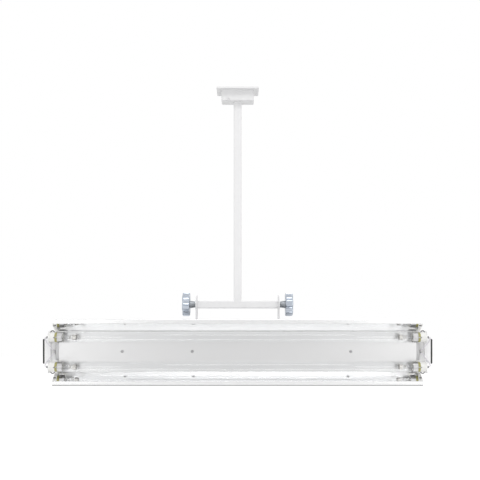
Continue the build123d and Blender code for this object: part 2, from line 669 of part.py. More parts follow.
def bracket_screws():
    """Two screws for each bracket."""
    screw = pan_screw(BRACKET_SCREW, BRACKET_SHEET + HOUSING_SHEET + BRACKET_SCREW_TAIL)
    places = [(side * x, z) for side in SIDES.values() for x, z in bracket_screw_places()]
    return Compound(children=[Pos(x, BRACKET_FRONT, z) * Rot(90, 0, 0) * screw for x, z in places])


def outward(level):
    """1 for the upper holders and -1 for the lower ones: the way from the trough's centre line."""
    return 1 if level > CENTRE else -1


def shunt_places(level):
    """Where the shunt wire enters the outer flank of a right holder, as two x and the flank's z."""
    middle = (HOLDER_FACE + LEG_FACE) / 2
    return middle - SHUNT_SPAN / 2, middle + SHUNT_SPAN / 2, level + outward(level) * HOLDER_WIDTH / 2


def lampholder(level):
    """A right holder body: round-topped, with the contact groove and the slot that the pins enter by."""
    round_top = HOLDER_WIDTH / 2
    foot = block((HOLDER_FACE, LEG_FACE), (BRACKET_FRONT, LAMP_Y), (level - round_top, level + round_top))
    body = foot + rod_x(round_top, HOLDER_FACE, LEG_FACE, LAMP_Y, level)
    groove_end = HOLDER_FACE + CONTACT_GROOVE_DEPTH
    middle = PIN_SPACING / 2
    groove = rod_x(middle + CONTACT_GROOVE_WIDTH / 2, HOLDER_FACE, groove_end, LAMP_Y, level)
    groove -= rod_x(middle - CONTACT_GROOVE_WIDTH / 2, HOLDER_FACE, groove_end, LAMP_Y, level)
    slot = (level - ENTRY_SLOT / 2, level + ENTRY_SLOT / 2)
    entry = block((HOLDER_FACE, groove_end), (LAMP_Y - round_top, LAMP_Y - middle), slot)
    body -= groove + entry
    for y, z in holder_screw_places(level):
        body -= rod_x(HOLDER_SCREW / 2 + SCREW_HOLE_FIT, LEG_FACE - HOLDER_SCREW_DEPTH, LEG_FACE, y, z)
    inner, outer, flank = shunt_places(level)
    for x in (inner, outer):
        end = flank - outward(level) * SHUNT_SEAT
        body -= rod_z(LEAD_DIAMETER / 2, flank, end, x, LAMP_Y + SHUNT_Y)
    return body


def holder_collar(level):
    """The olive ring on the front of a right holder, with its entry gap towards the open side."""
    collar = rod_x(COLLAR_DIAMETER / 2, COLLAR_FACE, HOLDER_FACE, LAMP_Y, level)
    collar -= rod_x(ROTOR_DIAMETER / 2 + ROTOR_FIT, COLLAR_FACE, HOLDER_FACE, LAMP_Y, level)
    gap = (level - ENTRY_SLOT / 2, level + ENTRY_SLOT / 2)
    return collar - block((COLLAR_FACE, HOLDER_FACE), (LAMP_Y - COLLAR_DIAMETER, LAMP_Y), gap)


def lamp_rotor(level):
    """The disc that turns in a right collar: its slot is upright when the lamp is locked."""
    start = COLLAR_FACE + ROTOR_END_GAP
    end = HOLDER_FACE - ROTOR_END_GAP
    rotor = rod_x(ROTOR_DIAMETER / 2, start, end, LAMP_Y, level)
    closed_end = level - PIN_SPACING / 2
    width = (LAMP_Y - ROTOR_SLOT / 2, LAMP_Y + ROTOR_SLOT / 2)
    rotor -= block((start, end), width, (closed_end, level + ROTOR_DIAMETER))
    return rotor - rod_x(ROTOR_SLOT / 2, start, end, LAMP_Y, closed_end)


def holder_screws():
    """Two small screws through the leg into each holder."""
    screw = pan_screw(HOLDER_SCREW, BRACKET_SHEET + HOLDER_SCREW_DEPTH - HOLDER_SCREW_END_GAP)
    screws = []
    for level in LEVELS.values():
        for y, z in holder_screw_places(level):
            right = Pos(LEG_OUTER, y, z) * Rot(0, 90, 0) * screw
            screws += [right, mirror(right, about=Plane.YZ)]
    return Compound(children=screws)


def lead_boots():
    """Black sleeves where the leads leave the backs of the right holders."""
    boots = []
    for level in LEVELS.values():
        boot = rod_x(BOOT_DIAMETER / 2, LEG_FACE, LEG_OUTER + BOOT_LENGTH, LAMP_Y, level)
        boots.append(boot - rod_x(LEAD_DIAMETER / 2, LEG_OUTER, LEG_OUTER + BOOT_LENGTH, LAMP_Y, level))
    return Compound(children=boots)


def wire(points):
    """Round insulated wire along a bent line, and its mirror image at the other end of the lamps."""
    line = FilletPolyline(*points, radius=LEAD_BEND)
    section = Plane(origin=line @ 0, z_dir=line % 0) * Circle(LEAD_DIAMETER / 2)
    right = sweep(section, path=line)
    return [right, mirror(right, about=Plane.YZ)]


def lamp_leads():
    """One lead from each holder's boot, over the low rib of the bracket and in at the grommet."""
    leads = []
    out = LEG_OUTER + BOOT_LENGTH + 1.5 * LEAD_BEND + LEAD_SEAT
    for level in LEVELS.values():
        way = outward(level)
        hole = CENTRE + way * LEAD_PITCH / 2
        points = [
            (LEG_OUTER + LEAD_SEAT, LAMP_Y, level),
            (out, LAMP_Y, level),
            (out - LEAD_ELBOW_IN, LAMP_Y + LEAD_ELBOW_BACK, CENTRE + way * BRACKET_NOTCH / 2),
            (GROMMET_PLACE, LAMP_Y + LEAD_TURN_BACK, CENTRE + way * LEAD_TURN),
            (GROMMET_PLACE, HOUSING_FRONT + LEAD_TAIL, hole),
        ]
        leads += wire(points)
    return Compound(children=leads)


def shunt_leads():
    """Short black loops that join the two contacts of each holder, on its outer flank."""
    shunts = []
    y = LAMP_Y + SHUNT_Y
    for level in LEVELS.values():
        inner, outer, flank = shunt_places(level)
        seat = flank - outward(level) * (SHUNT_SEAT - LEAD_SEAT)
        top = flank + outward(level) * SHUNT_REACH
        shunts += wire([(inner, y, seat), (inner, y, top), (outer, y, top), (outer, y, seat)])
    return Compound(children=shunts)


def grommet():
    """Ring that lines the right bracket's lead hole."""
    rim = GROMMET_HOLE / 2 + GROMMET_RIM
    front = BRACKET_FRONT - GROMMET_LIP
    ring = rod_y(rim, front, BRACKET_FRONT, GROMMET_PLACE, CENTRE)
    ring += rod_y(GROMMET_HOLE / 2, BRACKET_FRONT, HOUSING_FRONT + GROMMET_LIP, GROMMET_PLACE, CENTRE)
    bore = GROMMET_HOLE / 2 - GROMMET_RIM
    return ring - rod_y(bore, front, HOUSING_FRONT + GROMMET_LIP, GROMMET_PLACE, CENTRE)


def lamp_tube(level):
    """Thin glass tube, necked at both ends to go into the caps."""
    neck = LAMP_HALF - GLASS_END_INSET
    body = LAMP_HALF - LAMP_CAP_LENGTH - GLASS_SHOULDER_GAP
    outer = GLASS_DIAMETER / 2
    small = GLASS_NECK / 2
    shoulder = body + 2 * (outer - small)
    tube = rod_x(outer, -body, body, LAMP_Y, level) - rod_x(outer - GLASS_WALL, -body, body, LAMP_Y, level)
    cone = Rot(0, 90, 0) * Cone(outer, small, shoulder - body)
    cone -= Rot(0, 90, 0) * Cone(outer - GLASS_WALL, small - GLASS_WALL, shoulder - body)
    cone = Pos((shoulder + body) / 2, LAMP_Y, level) * cone
    throat = rod_x(small, shoulder, neck, LAMP_Y, level)
    throat -= rod_x(small - GLASS_WALL, shoulder, neck, LAMP_Y, level)
    end = cone + throat
    return tube + end + mirror(end, about=Plane.YZ)


def lamp_caps(level):
    """The two metal caps, each with its pair of pins, one above the other when the lamp is locked."""
    inner = LAMP_HALF - LAMP_CAP_LENGTH
    radius = LAMP_CAP_DIAMETER / 2
    cap = rod_x(radius, inner, LAMP_HALF, LAMP_Y, level)
    cap = chamfer(cap.edges().group_by(Axis.X)[-1], LAMP_CAP_WALL)
    floor = LAMP_HALF - GLASS_END_INSET + LAMP_CAP_WALL
    cap -= rod_x(radius - LAMP_CAP_WALL, inner, floor, LAMP_Y, level)
    for side in (-PIN_SPACING / 2, PIN_SPACING / 2):
        cap += rod_x(PIN_DIAMETER / 2, LAMP_HALF, LAMP_HALF + PIN_LENGTH, LAMP_Y, level + side)
    return mirrored_pair(cap)


def lamp_stems(level):
    """The glass stems that close the tube and hold the electrodes."""
    closed = LAMP_HALF - GLASS_END_INSET
    wide = GLASS_NECK / 2 - GLASS_WALL - SCREW_HOLE_FIT
    flare = rod_x(wide, closed - STEM_FLARE, closed, LAMP_Y, level)
    cone = Rot(0, -90, 0) * Cone(wide, STEM_PRESS_RADIUS, STEM_CONE)
    cone = Pos(closed - STEM_FLARE - STEM_CONE / 2, LAMP_Y, level) * cone
    press = rod_x(STEM_PRESS_RADIUS, closed - STEM_LENGTH, closed - STEM_FLARE - STEM_CONE, LAMP_Y, level)
    return mirrored_pair(flare + cone + press)


def lamp_electrodes(level):
    """Filament, its two lead wires and the shield ring round it, on a small plate, at both ends."""
    stem_end = LAMP_HALF - GLASS_END_INSET - STEM_LENGTH
    place = stem_end - ELECTRODE_REACH
    half = ELECTRODE_SPACING / 2
    electrode = rod_z(FILAMENT_DIAMETER / 2, level - half, level + half, place, LAMP_Y)
    for side in (-WIRE_SPACING / 2, WIRE_SPACING / 2):
        electrode += rod_x(ELECTRODE_WIRE / 2, place, stem_end, LAMP_Y, level + side)
    ring = (place - SHIELD_LENGTH / 2, place + SHIELD_LENGTH / 2)
    shield = rod_x(SHIELD_DIAMETER / 2, *ring, LAMP_Y, level)
    shield -= rod_x(SHIELD_DIAMETER / 2 - SHIELD_WALL, *ring, LAMP_Y, level)
    stay = LAMP_Y + SHIELD_DIAMETER / 2 - SHIELD_WALL
    electrode += shield + rod_x(ELECTRODE_WIRE / 2, place, stem_end, stay, level)
    depth = (LAMP_Y - ELECTRODE_WIRE, stay)
    electrode += block((stem_end - ELECTRODE_WIRE, stem_end), depth, (level - half, level + half))
    return mirrored_pair(electrode)


def ballast_case():
    """Folded lid of the ballast, open towards the housing's back wall, with a screw flange at each end."""
    back = HOUSING_BACK - HOUSING_SHEET
    front = back - BALLAST_HEIGHT
    half = BALLAST_LENGTH / 2
    rim = BALLAST_WIDTH / 2
    case = block((-half, half), (front, back), (-rim, rim))
    case = chamfer(case.faces().sort_by(Axis.Y)[0].edges(), BALLAST_CHAMFER)
    wall = BALLAST_SHEET
    case -= block((wall - half, half - wall), (front + wall, back), (wall - rim, rim - wall))
    for side in SIDES.values():
        start = side * (half - wall)
        end = side * (half + BALLAST_FLANGE)
        case += block((start, end), (back - wall, back), (-rim, rim))
    case = Pos(BALLAST_PLACE, 0, CENTRE) * case
    for x, z in ballast_screw_places():
        case -= rod_y(BALLAST_SCREW / 2 + SCREW_HOLE_FIT, back - wall, back, x, z)
    return case


def ballast_board():
    """Circuit board inside the ballast with its choke, capacitor and heat sink."""
    back = HOUSING_BACK - HOUSING_SHEET
    length = BALLAST_LENGTH - 4 * BALLAST_SHEET
    width = BALLAST_WIDTH - 4 * BALLAST_SHEET
    face = back - BOARD_STANDOFF - BOARD_THICKNESS
    board = block((-length / 2, length / 2), (face, face + BOARD_THICKNESS), (-width / 2, width / 2))
    for share in (-0.44, 0.44):
        board += rod_y(BOARD_STANDOFF / 2, face + BOARD_THICKNESS, back, share * length, 0)
    choke = block((-length * 0.3, -length * 0.15), (face - CHOKE_HEIGHT, face), (-width * 0.35, width * 0.35))
    sink = block((length * 0.1, length * 0.35), (face - SINK_HEIGHT, face), (width * 0.3, width * 0.38))
    board += choke + sink + rod_y(CAPACITOR_DIAMETER / 2, face - CAPACITOR_HEIGHT, face, 0, 0)
    return Pos(BALLAST_PLACE, 0, CENTRE) * board


def ballast_screws():
    """Screws that hold the ballast to the back wall from inside."""
    seat = HOUSING_BACK - HOUSING_SHEET - BALLAST_SHEET
    screw = pan_screw(BALLAST_SCREW, BALLAST_SHEET)
    return Compound(children=[Pos(x, seat, z) * Rot(90, 0, 0) * screw for x, z in ballast_screw_places()])


def terminal_block():
    """Mains terminal block with a row of screw and wire holes."""
    back = HOUSING_BACK - HOUSING_SHEET
    front = back - TERMINAL_HEIGHT
    half = TERMINAL_LENGTH / 2
    rim = TERMINAL_WIDTH / 2
    body = block((-half, half), (front, back), (-rim, rim))
    body -= block((-half, half), (front, front + TERMINAL_STEP), (rim / 2, rim))
    body -= block((-half, half), (front, front + TERMINAL_STEP), (-rim, -rim / 2))
    pitch = TERMINAL_LENGTH / TERMINAL_WAYS
    for way in range(TERMINAL_WAYS):
        x = pitch * (way + 0.5) - half
        body -= rod_z(TERMINAL_HOLE / 2, -rim, rim, x, front + TERMINAL_HEIGHT / 2)
        body -= rod_y(TERMINAL_HOLE / 2, front, front + TERMINAL_SCREW_DEPTH, x, 0)
    return Pos(TERMINAL_PLACE, 0, CENTRE) * body


def earth_stud():
    """Earth stud welded to the back wall, with its nut."""
    back = HOUSING_BACK - HOUSING_SHEET
    stud = rod_y(EARTH_STUD / 2, back - EARTH_STUD_LENGTH, back, EARTH_PLACE, CENTRE)
    nut_start = back - EARTH_STUD_LENGTH / 2
    nut_end = nut_start + EARTH_STUD * NUT_HEIGHT
    return stud + hex_y(EARTH_STUD * NUT_WIDTH, nut_start, nut_end, EARTH_PLACE, CENTRE)


def gland_body():
    """Cable gland: threaded stub through the wall, hexagon flange outside and the neck for its cap."""
    neck_start = HOUSING_BACK + GLAND_FLANGE
    neck_end = neck_start + GLAND_NECK_LENGTH
    inner = HOUSING_BACK - GLAND_STUB
    body = rod_y(GLAND_THREAD / 2, inner, HOUSING_BACK, GLAND_PLACE, CENTRE)
    body += hex_y(GLAND_HEX, HOUSING_BACK, neck_start, GLAND_PLACE, CENTRE)
    body += rod_y(GLAND_NECK / 2, neck_start, neck_end, GLAND_PLACE, CENTRE)
    body -= rod_y(GLAND_BORE / 2, inner, neck_end, GLAND_PLACE, CENTRE)
    return body - rod_y(SEAL_DIAMETER / 2, neck_end - SEAL_LENGTH, neck_end, GLAND_PLACE, CENTRE)


def gland_seal():
    """Rubber ring that grips the cable."""
    end = HOUSING_BACK + GLAND_FLANGE + GLAND_NECK_LENGTH
    ring = rod_y(SEAL_DIAMETER / 2, end - SEAL_LENGTH, end, GLAND_PLACE, CENTRE)
    return ring - rod_y(CABLE_BORE / 2, end - SEAL_LENGTH, end, GLAND_PLACE, CENTRE)


def gland_cap():
    """Gland nut, hexagonal at its foot and domed to a round mouth."""
    start = HOUSING_BACK + GLAND_FLANGE + 2 * GLAND_FIT
    end = start + GLAND_CAP_LENGTH
    inside_end = HOUSING_BACK + GLAND_FLANGE + GLAND_NECK_LENGTH + GLAND_FIT
    cap = hex_y(GLAND_HEX, start, end, GLAND_PLACE, CENTRE)
    dome = Pos(GLAND_PLACE, (start + end) / 2, CENTRE) * Rot(-90, 0, 0) * Cone(
        GLAND_HEX / 2 + GLAND_CAP_LENGTH - GLAND_CAP_WALL, GLAND_HEX / 2 - GLAND_CAP_WALL, GLAND_CAP_LENGTH
    )
    cap &= dome
    cap -= rod_y(GLAND_NECK / 2 + GLAND_FIT / 2, start, inside_end, GLAND_PLACE, CENTRE)
    return cap - rod_y(GLAND_BORE / 2, start, end, GLAND_PLACE, CENTRE)


def gland_lock_nut():
    """Lock nut inside the back wall."""
    back = HOUSING_BACK - HOUSING_SHEET
    ring = hex_y(GLAND_HEX, back - LOCK_NUT, back, GLAND_PLACE, CENTRE)
    return ring - rod_y(GLAND_THREAD / 2 + GLAND_FIT / 2, back - LOCK_NUT, back, GLAND_PLACE, CENTRE)


def save(name, shape):
    export_step(shape, f"parts/{name}.step")


save("ceiling_plate", ceiling_plate())
save("canopy_box", canopy_box())
save("canopy_screws", canopy_screws())
save("drop_stem", drop_stem())
save("crossbar", crossbar())
save("crossbar_plugs", mirrored_pair(end_plug()))
save("ear_screws", ear_screws())
save("ear_nuts", ear_nuts())
save("housing_shell", housing_shell())
save("reflector_back", reflector_back())
save("upper_reflector", reflector_wing())
save("lower_reflector", mirror(reflector_wing(), about=Plane.XY.offset(CENTRE)))
save("reflector_screws", reflector_screws())
save("bridge_straps", bridge_straps())
save("bracket_screws", bracket_screws())
save("holder_screws", holder_screws())
save("lead_grommets", mirrored_pair(grommet()))
save("lamp_leads", lamp_leads())
save("shunt_leads", shunt_leads())
save("ballast_case", ballast_case())
save("ballast_board", ballast_board())
save("ballast_screws", ballast_screws())
save("terminal_block", terminal_block())
save("earth_stud", earth_stud())
save("gland_body", gland_body())
save("gland_seal", gland_seal())
save("gland_cap", gland_cap())
save("gland_lock_nut", gland_lock_nut())

for side in SIDES:
    save(f"{side}_ear", on_side(yoke_ear(), side))
    save(f"{side}_washer", on_side(clamp_washer(), side))
    save(f"{side}_stud", on_side(clamp_stud(), side))
    save(f"{side}_knob", on_side(clamp_knob(KNOB_TURN[side]), side))
    save(f"{side}_end_cap", on_side(end_cap(), side))
    save(f"{side}_lamp_bracket", on_side(lamp_bracket(), side))
    save(f"{side}_lead_boots", on_side(lead_boots(), side))
    for place, level in LEVELS.items():
        save(f"{place}_{side}_holder", on_side(lampholder(level), side))
        save(f"{place}_{side}_collar", on_side(holder_collar(level), side))

for place, level in LEVELS.items():
    save(f"{place}_lamp_tube", lamp_tube(level))
    save(f"{place}_lamp_caps", lamp_caps(level))
    save(f"{place}_lamp_stems", lamp_stems(level))
    save(f"{place}_lamp_electrodes", lamp_electrodes(level))
    save(f"{place}_lamp_rotors", mirrored_pair(lamp_rotor(level)))
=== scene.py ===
import json
from math import cos, pi, radians, sin

import bmesh
import bpy
from mathutils import Matrix, Vector


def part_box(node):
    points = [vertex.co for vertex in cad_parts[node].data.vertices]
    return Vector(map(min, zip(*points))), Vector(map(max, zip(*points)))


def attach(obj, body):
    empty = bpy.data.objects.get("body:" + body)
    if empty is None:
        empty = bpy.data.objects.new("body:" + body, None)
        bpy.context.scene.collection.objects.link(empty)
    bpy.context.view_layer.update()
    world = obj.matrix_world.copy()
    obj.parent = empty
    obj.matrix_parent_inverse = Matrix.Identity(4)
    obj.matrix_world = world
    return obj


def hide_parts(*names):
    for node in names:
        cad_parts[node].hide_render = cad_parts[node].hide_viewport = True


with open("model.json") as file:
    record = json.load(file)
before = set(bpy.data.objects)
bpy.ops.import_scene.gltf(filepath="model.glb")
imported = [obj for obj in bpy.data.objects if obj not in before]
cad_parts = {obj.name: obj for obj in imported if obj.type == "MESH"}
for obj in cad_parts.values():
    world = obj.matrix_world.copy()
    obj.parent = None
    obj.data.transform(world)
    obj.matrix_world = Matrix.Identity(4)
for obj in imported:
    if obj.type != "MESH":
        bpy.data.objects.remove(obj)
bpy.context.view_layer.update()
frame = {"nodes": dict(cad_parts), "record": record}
NODES = frame["nodes"]

MM = 0.001
SIDES = {"left": -1, "right": 1}
PLACES = {"upper": 1, "lower": -1}
BOTH_WAYS = (-1, 1)
REFLECTOR_SHEET = 1.0 * MM


def centre(node):
    """Middle of a CAD node's box."""
    low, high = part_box(node)
    return (low + high) / 2


# Material tools

EVEN = (1, 1, 1)
BRUSHED = (0.05, 1, 1)
NOISE_ROUGHNESS = 0.55
RAMP_START = 0.3
RAMP_END = 0.7
ROUGHNESS_SPREAD = 0.15


def new_material(name):
    """A new material, with its node tree and its shader."""
    material = bpy.data.materials.new(name)
    material.use_nodes = True
    tree = material.node_tree
    return material, tree, tree.nodes["Principled BSDF"]


def noise(tree, scale, detail=4.0, stretch=EVEN):
    """Noise in the coordinates of the object; stretch is how much denser it is along each axis."""
    where = tree.nodes.new("ShaderNodeTexCoord")
    mapping = tree.nodes.new("ShaderNodeMapping")
    mapping.inputs["Scale"].default_value = stretch
    texture = tree.nodes.new("ShaderNodeTexNoise")
    texture.inputs["Scale"].default_value = scale
    texture.inputs["Detail"].default_value = detail
    texture.inputs["Roughness"].default_value = NOISE_ROUGHNESS
    tree.links.new(where.outputs["Object"], mapping.inputs["Vector"])
    tree.links.new(mapping.outputs["Vector"], texture.inputs["Vector"])
    return texture.outputs["Fac"]


def ramp(tree, source, low, high):
    """A colour or value that runs from low to high as the source runs over its middle range."""
    node = tree.nodes.new("ShaderNodeValToRGB")
    for element, place, value in zip(node.color_ramp.elements, (RAMP_START, RAMP_END), (low, high)):
        element.position = place
        element.color = value if isinstance(value, tuple) else (value, value, value, 1)
    tree.links.new(source, node.inputs["Fac"])
    return node.outputs["Color"]


def bump(tree, shader, source, distance, strength=1.0):
    """Small relief from a height; distance is the relief's full height in metres."""
    node = tree.nodes.new("ShaderNodeBump")
    node.inputs["Strength"].default_value = strength
    node.inputs["Distance"].default_value = distance
    tree.links.new(source, node.inputs["Height"])
    tree.links.new(node.outputs["Normal"], shader.inputs["Normal"])


def tint(colour, share):
    """A colour made lighter or darker by a share, with full opacity."""
    return tuple(min(1.0, part * share) for part in colour) + (1,)


def surface(name, colour, rough, *, vary, scale, grain, relief, metal=0.0, stretch=EVEN, anisotropic=0.0):
    """An opaque finish: slow changes of colour, uneven roughness and a fine grain in relief."""
    material, tree, shader = new_material(name)
    slow = noise(tree, scale, stretch=stretch)
    fine = noise(tree, grain, detail=2.0, stretch=stretch)
    patchy = ramp(tree, slow, tint(colour, 1 - vary), tint(colour, 1 + vary))
    uneven = ramp(tree, fine, rough * (1 - ROUGHNESS_SPREAD), rough * (1 + ROUGHNESS_SPREAD))
    tree.links.new(patchy, shader.inputs["Base Color"])
    tree.links.new(uneven, shader.inputs["Roughness"])
    shader.inputs["Metallic"].default_value = metal
    shader.inputs["Anisotropic"].default_value = anisotropic
    bump(tree, shader, fine, relief)
    return material


def enamel(name, colour, vary=0.008):
    """Sprayed and baked paint."""
    return surface(name, colour, rough=0.42, vary=vary, scale=60, grain=900, relief=1.2e-5)


def bare_metal(name, colour, rough, **finish):
    """Metal with no paint on it."""
    return surface(name, colour, rough, metal=1.0, **finish)


GLASS_IOR = 1.47
SKIN_ROUGHNESS = 0.03
HAZE_SCALE = 25
HAZE_STRETCH = (0.3, 1, 1)
HAZE_SHADE = 0.985
RIPPLE_SCALE = 400
RIPPLE_HEIGHT = 1e-7
RIPPLE_STRENGTH = 0.2


def glass(name, colour, rough, ior=GLASS_IOR, haze=0.0, cover=1.0, skin=0.0):
    """Clear glass with a faint haze. Cover is the share of light that meets it, skin how much it mirrors."""
    material, tree, shader = new_material(name)
    slow = noise(tree, HAZE_SCALE, stretch=HAZE_STRETCH)
    tree.links.new(ramp(tree, slow, tint(colour, HAZE_SHADE), tint(colour, 1.0)), shader.inputs["Base Color"])
    tree.links.new(ramp(tree, slow, rough, rough + haze), shader.inputs["Roughness"])
    shader.inputs["Transmission Weight"].default_value = 1.0
    shader.inputs["IOR"].default_value = ior
    shader.inputs["Alpha"].default_value = cover
    shader.inputs["Coat Weight"].default_value = skin
    shader.inputs["Coat IOR"].default_value = GLASS_IOR
    shader.inputs["Coat Roughness"].default_value = SKIN_ROUGHNESS
    bump(tree, shader, noise(tree, RIPPLE_SCALE, detail=1.0), RIPPLE_HEIGHT, strength=RIPPLE_STRENGTH)
    return material


# Painted and bare metals

ENAMEL = enamel("white_enamel", (0.86, 0.86, 0.868))
# Painted light: a lighter copy of the white enamel for the lamp brackets, standing in for light in their
# shaded recess.
LIT_BRACKET_ENAMEL = enamel("bracket_enamel_painted_light", (0.93, 0.93, 0.935))
# Painted shade: a darker copy of the white enamel for the ears, whose edges and lower parts fall in shade.
SHADED_EAR_ENAMEL = enamel("ear_enamel_painted_shade", (0.75, 0.75, 0.76), vary=0.01)
SATIN = bare_metal(
    "satin_aluminium", (0.605, 0.605, 0.608), 0.36,
    vary=0.01, scale=12, grain=500, relief=6e-7, stretch=BRUSHED, anisotropic=0.3,
)
BRIGHT = bare_metal(
    "bright_aluminium", (0.975, 0.977, 0.982), 0.05,
    vary=0.006, scale=9, grain=600, relief=6e-8, stretch=(0.1, 1, 1),
)
LIP_METAL = bare_metal(
    "lip_aluminium", (0.755, 0.757, 0.76), 0.28,
    vary=0.008, scale=14, grain=700, relief=4e-7, stretch=BRUSHED, anisotropic=0.2,
)
# Painted shade: a dark copy of the lip metal for the lower wing's outer bend, standing in for the shadow
# under its bottom edge.
LOWER_EDGE_SHADE_METAL = bare_metal(
    "lower_edge_painted_shade", (0.14, 0.14, 0.143), 0.35,
    vary=0.02, scale=60, grain=700, relief=8e-7, stretch=BRUSHED,
)
# Painted shade: a darker copy of the lip metal for the bend between flare and lip, where a dark line of shade
# runs.
CREASE_SHADE_METAL = bare_metal(
    "flare_bend_painted_shade", (0.58, 0.58, 0.585), 0.30,
    vary=0.01, scale=40, grain=700, relief=5e-7, stretch=BRUSHED,
)
HUB_METAL = bare_metal(
    "hub_steel", (0.30, 0.315, 0.335), 0.34, vary=0.06, scale=200, grain=1800, relief=5e-6,
)
BLUED = bare_metal(
    "blued_metal", (0.47, 0.51, 0.57), 0.24, vary=0.05, scale=90, grain=1500, relief=6e-6,
)
ZINC = bare_metal(
    "zinc_steel", (0.62, 0.63, 0.64), 0.30, vary=0.05, scale=300, grain=2000, relief=4e-6,
)
DULL_ZINC = bare_metal(
    "dull_zinc", (0.37, 0.37, 0.375), 0.42, vary=0.06, scale=300, grain=2000, relief=4e-6,
)
CAP_METAL = bare_metal(
    "lamp_cap_metal", (0.47, 0.47, 0.475), 0.36, vary=0.03, scale=150, grain=1500, relief=4e-6,
)
NICKEL = bare_metal(
    "electrode_metal", (0.50, 0.49, 0.47), 0.35, vary=0.08, scale=400, grain=2500, relief=6e-6,
)


# Plastics, rubber, cement and glass

CEMENT = surface(
    "basing_cement", (0.80, 0.79, 0.76), 0.7, vary=0.03, scale=400, grain=2500, relief=1.5e-5,
)
PALE_RUBBER = surface(
    "pale_rubber", (0.86, 0.86, 0.85), 0.6, vary=0.03, scale=300, grain=1800, relief=1e-5,
)
WHITE_PLASTIC = surface(
    "white_plastic", (0.84, 0.84, 0.82), 0.38, vary=0.01, scale=150, grain=1200, relief=8e-6,
)
OLIVE = surface(
    "olive_plastic", (0.36, 0.34, 0.12), 0.40, vary=0.06, scale=200, grain=1200, relief=1e-5,
)
BLACK = surface(
    "black_plastic", (0.022, 0.022, 0.023), 0.52, vary=0.15, scale=120, grain=900, relief=1.5e-5,
)
GREY_PLASTIC = surface(
    "grey_plastic", (0.40, 0.41, 0.43), 0.42, vary=0.04, scale=150, grain=1000, relief=1.2e-5,
)
RUBBER = surface(
    "black_rubber", (0.025, 0.025, 0.026), 0.65, vary=0.2, scale=200, grain=1400, relief=2e-5,
)
GREY_LEAD = surface(
    "lead_sleeves_grey", (0.74, 0.72, 0.77), 0.40, vary=0.03, scale=250, grain=1800, relief=6e-6,
)
BLACK_LEAD = surface(
    "lead_sleeves_black", (0.03, 0.03, 0.03), 0.40, vary=0.15, scale=250, grain=1800, relief=6e-6,
)
BOARD = surface(
    "board_green", (0.06, 0.20, 0.10), 0.35, vary=0.1, scale=200, grain=900, relief=2e-5,
)
CLEAR_GLASS = glass("clear_glass", (0.985, 0.99, 0.992), 0.0, ior=1.02, skin=1.0)
INNER_GLASS = glass("inner_glass", (0.97, 0.98, 0.985), 0.02, haze=0.03, cover=0.3)


# Finishes of the CAD nodes

FINISHES = {
    "white_enamel": ENAMEL,
    "specular_aluminium": BRIGHT,
    "satin_aluminium": SATIN,
    "blued_metal": BLUED,
    "zinc_steel": ZINC,
    "clear_glass": CLEAR_GLASS,
    "inner_glass": INNER_GLASS,
    "lamp_cap_metal": CAP_METAL,
    "electrode_metal": NICKEL,
    "white_plastic": WHITE_PLASTIC,
    "olive_plastic": OLIVE,
    "black_plastic": BLACK,
    "grey_plastic": GREY_PLASTIC,
    "black_rubber": RUBBER,
    "lead_sleeves_grey": GREY_LEAD,
    "lead_sleeves_black": BLACK_LEAD,
    "board_green": BOARD,
}

for part in frame["record"]["subparts"]:
    node = NODES[part["node"]]
    node.data.materials.clear()
    node.data.materials.append(FINISHES[part["material_slot"]])

NODES["lead_grommets"].data.materials[0] = PALE_RUBBER
# Painted light and shade: the lamp brackets get a lighter copy of the enamel, and the ears get a darker copy.
for side in SIDES:
    NODES[f"{side}_lamp_bracket"].data.materials[0] = LIT_BRACKET_ENAMEL
    NODES[f"{side}_ear"].data.materials[0] = SHADED_EAR_ENAMEL


# Mesh tools

def add_piece(name, mesh, body, *replaced, smooth=35):
    """Put a mesh in the scene, on a body, in place of the CAD nodes that it stands for."""
    piece = bpy.data.objects.new(name, mesh)
    bpy.context.scene.collection.objects.link(piece)
    mesh.shade_smooth()
    mesh.set_sharp_from_angle(angle=radians(smooth))
    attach(piece, body)
    if replaced:
        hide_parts(*replaced)


def finish_mesh(name, bm, *materials):
    """Turn a bmesh into a mesh with outward faces and its materials."""
    bmesh.ops.recalc_face_normals(bm, faces=bm.faces)
    mesh = bpy.data.meshes.new(name)
    bm.to_mesh(mesh)
    bm.free()
    for material in materials:
        mesh.materials.append(material)
    return mesh


def evaluated_mesh(holder):
    """The mesh that an object's curve or modifiers make, taken before the object goes away."""
    graph = bpy.context.evaluated_depsgraph_get()
    return bpy.data.meshes.new_from_object(holder.evaluated_get(graph))


def add_face(bm, corners, material):
    """One face with its material."""
    face = bm.faces.new(corners)
    face.material_index = material


def ring_strip(bm, first, second, material=0):
    """Quads between two closed rings of as many vertices."""
    count = len(first)
    for i in range(count):
        j = (i + 1) % count
        add_face(bm, (first[i], first[j], second[j], second[i]), material)


def fan(bm, ring, tip, material=0):
    """Triangles from a ring to a point."""
    for i, vertex in enumerate(ring):
        add_face(bm, (vertex, ring[(i + 1) % len(ring)], tip), material)


def lathe_x(bm, profile, y, z, segments):
    """A skin turned about an axis along X: rings at (x, radius), with a point where the radius is 0."""
    rings = []
    for x, radius in profile:
        if radius == 0:
            rings.append(bm.verts.new((x, y, z)))
            continue
        spots = [2 * pi * i / segments for i in range(segments)]
        rings.append([bm.verts.new((x, y + radius * sin(a), z + radius * cos(a))) for a in spots])
    for first, second in zip(rings, rings[1:]):
        if isinstance(first, list) and isinstance(second, list):
            ring_strip(bm, first, second)
        elif isinstance(first, list):
            fan(bm, first, second)
        else:
            fan(bm, second, first)
    return rings


# Clamping knobs: lobed heads with rounded rims on turned hubs

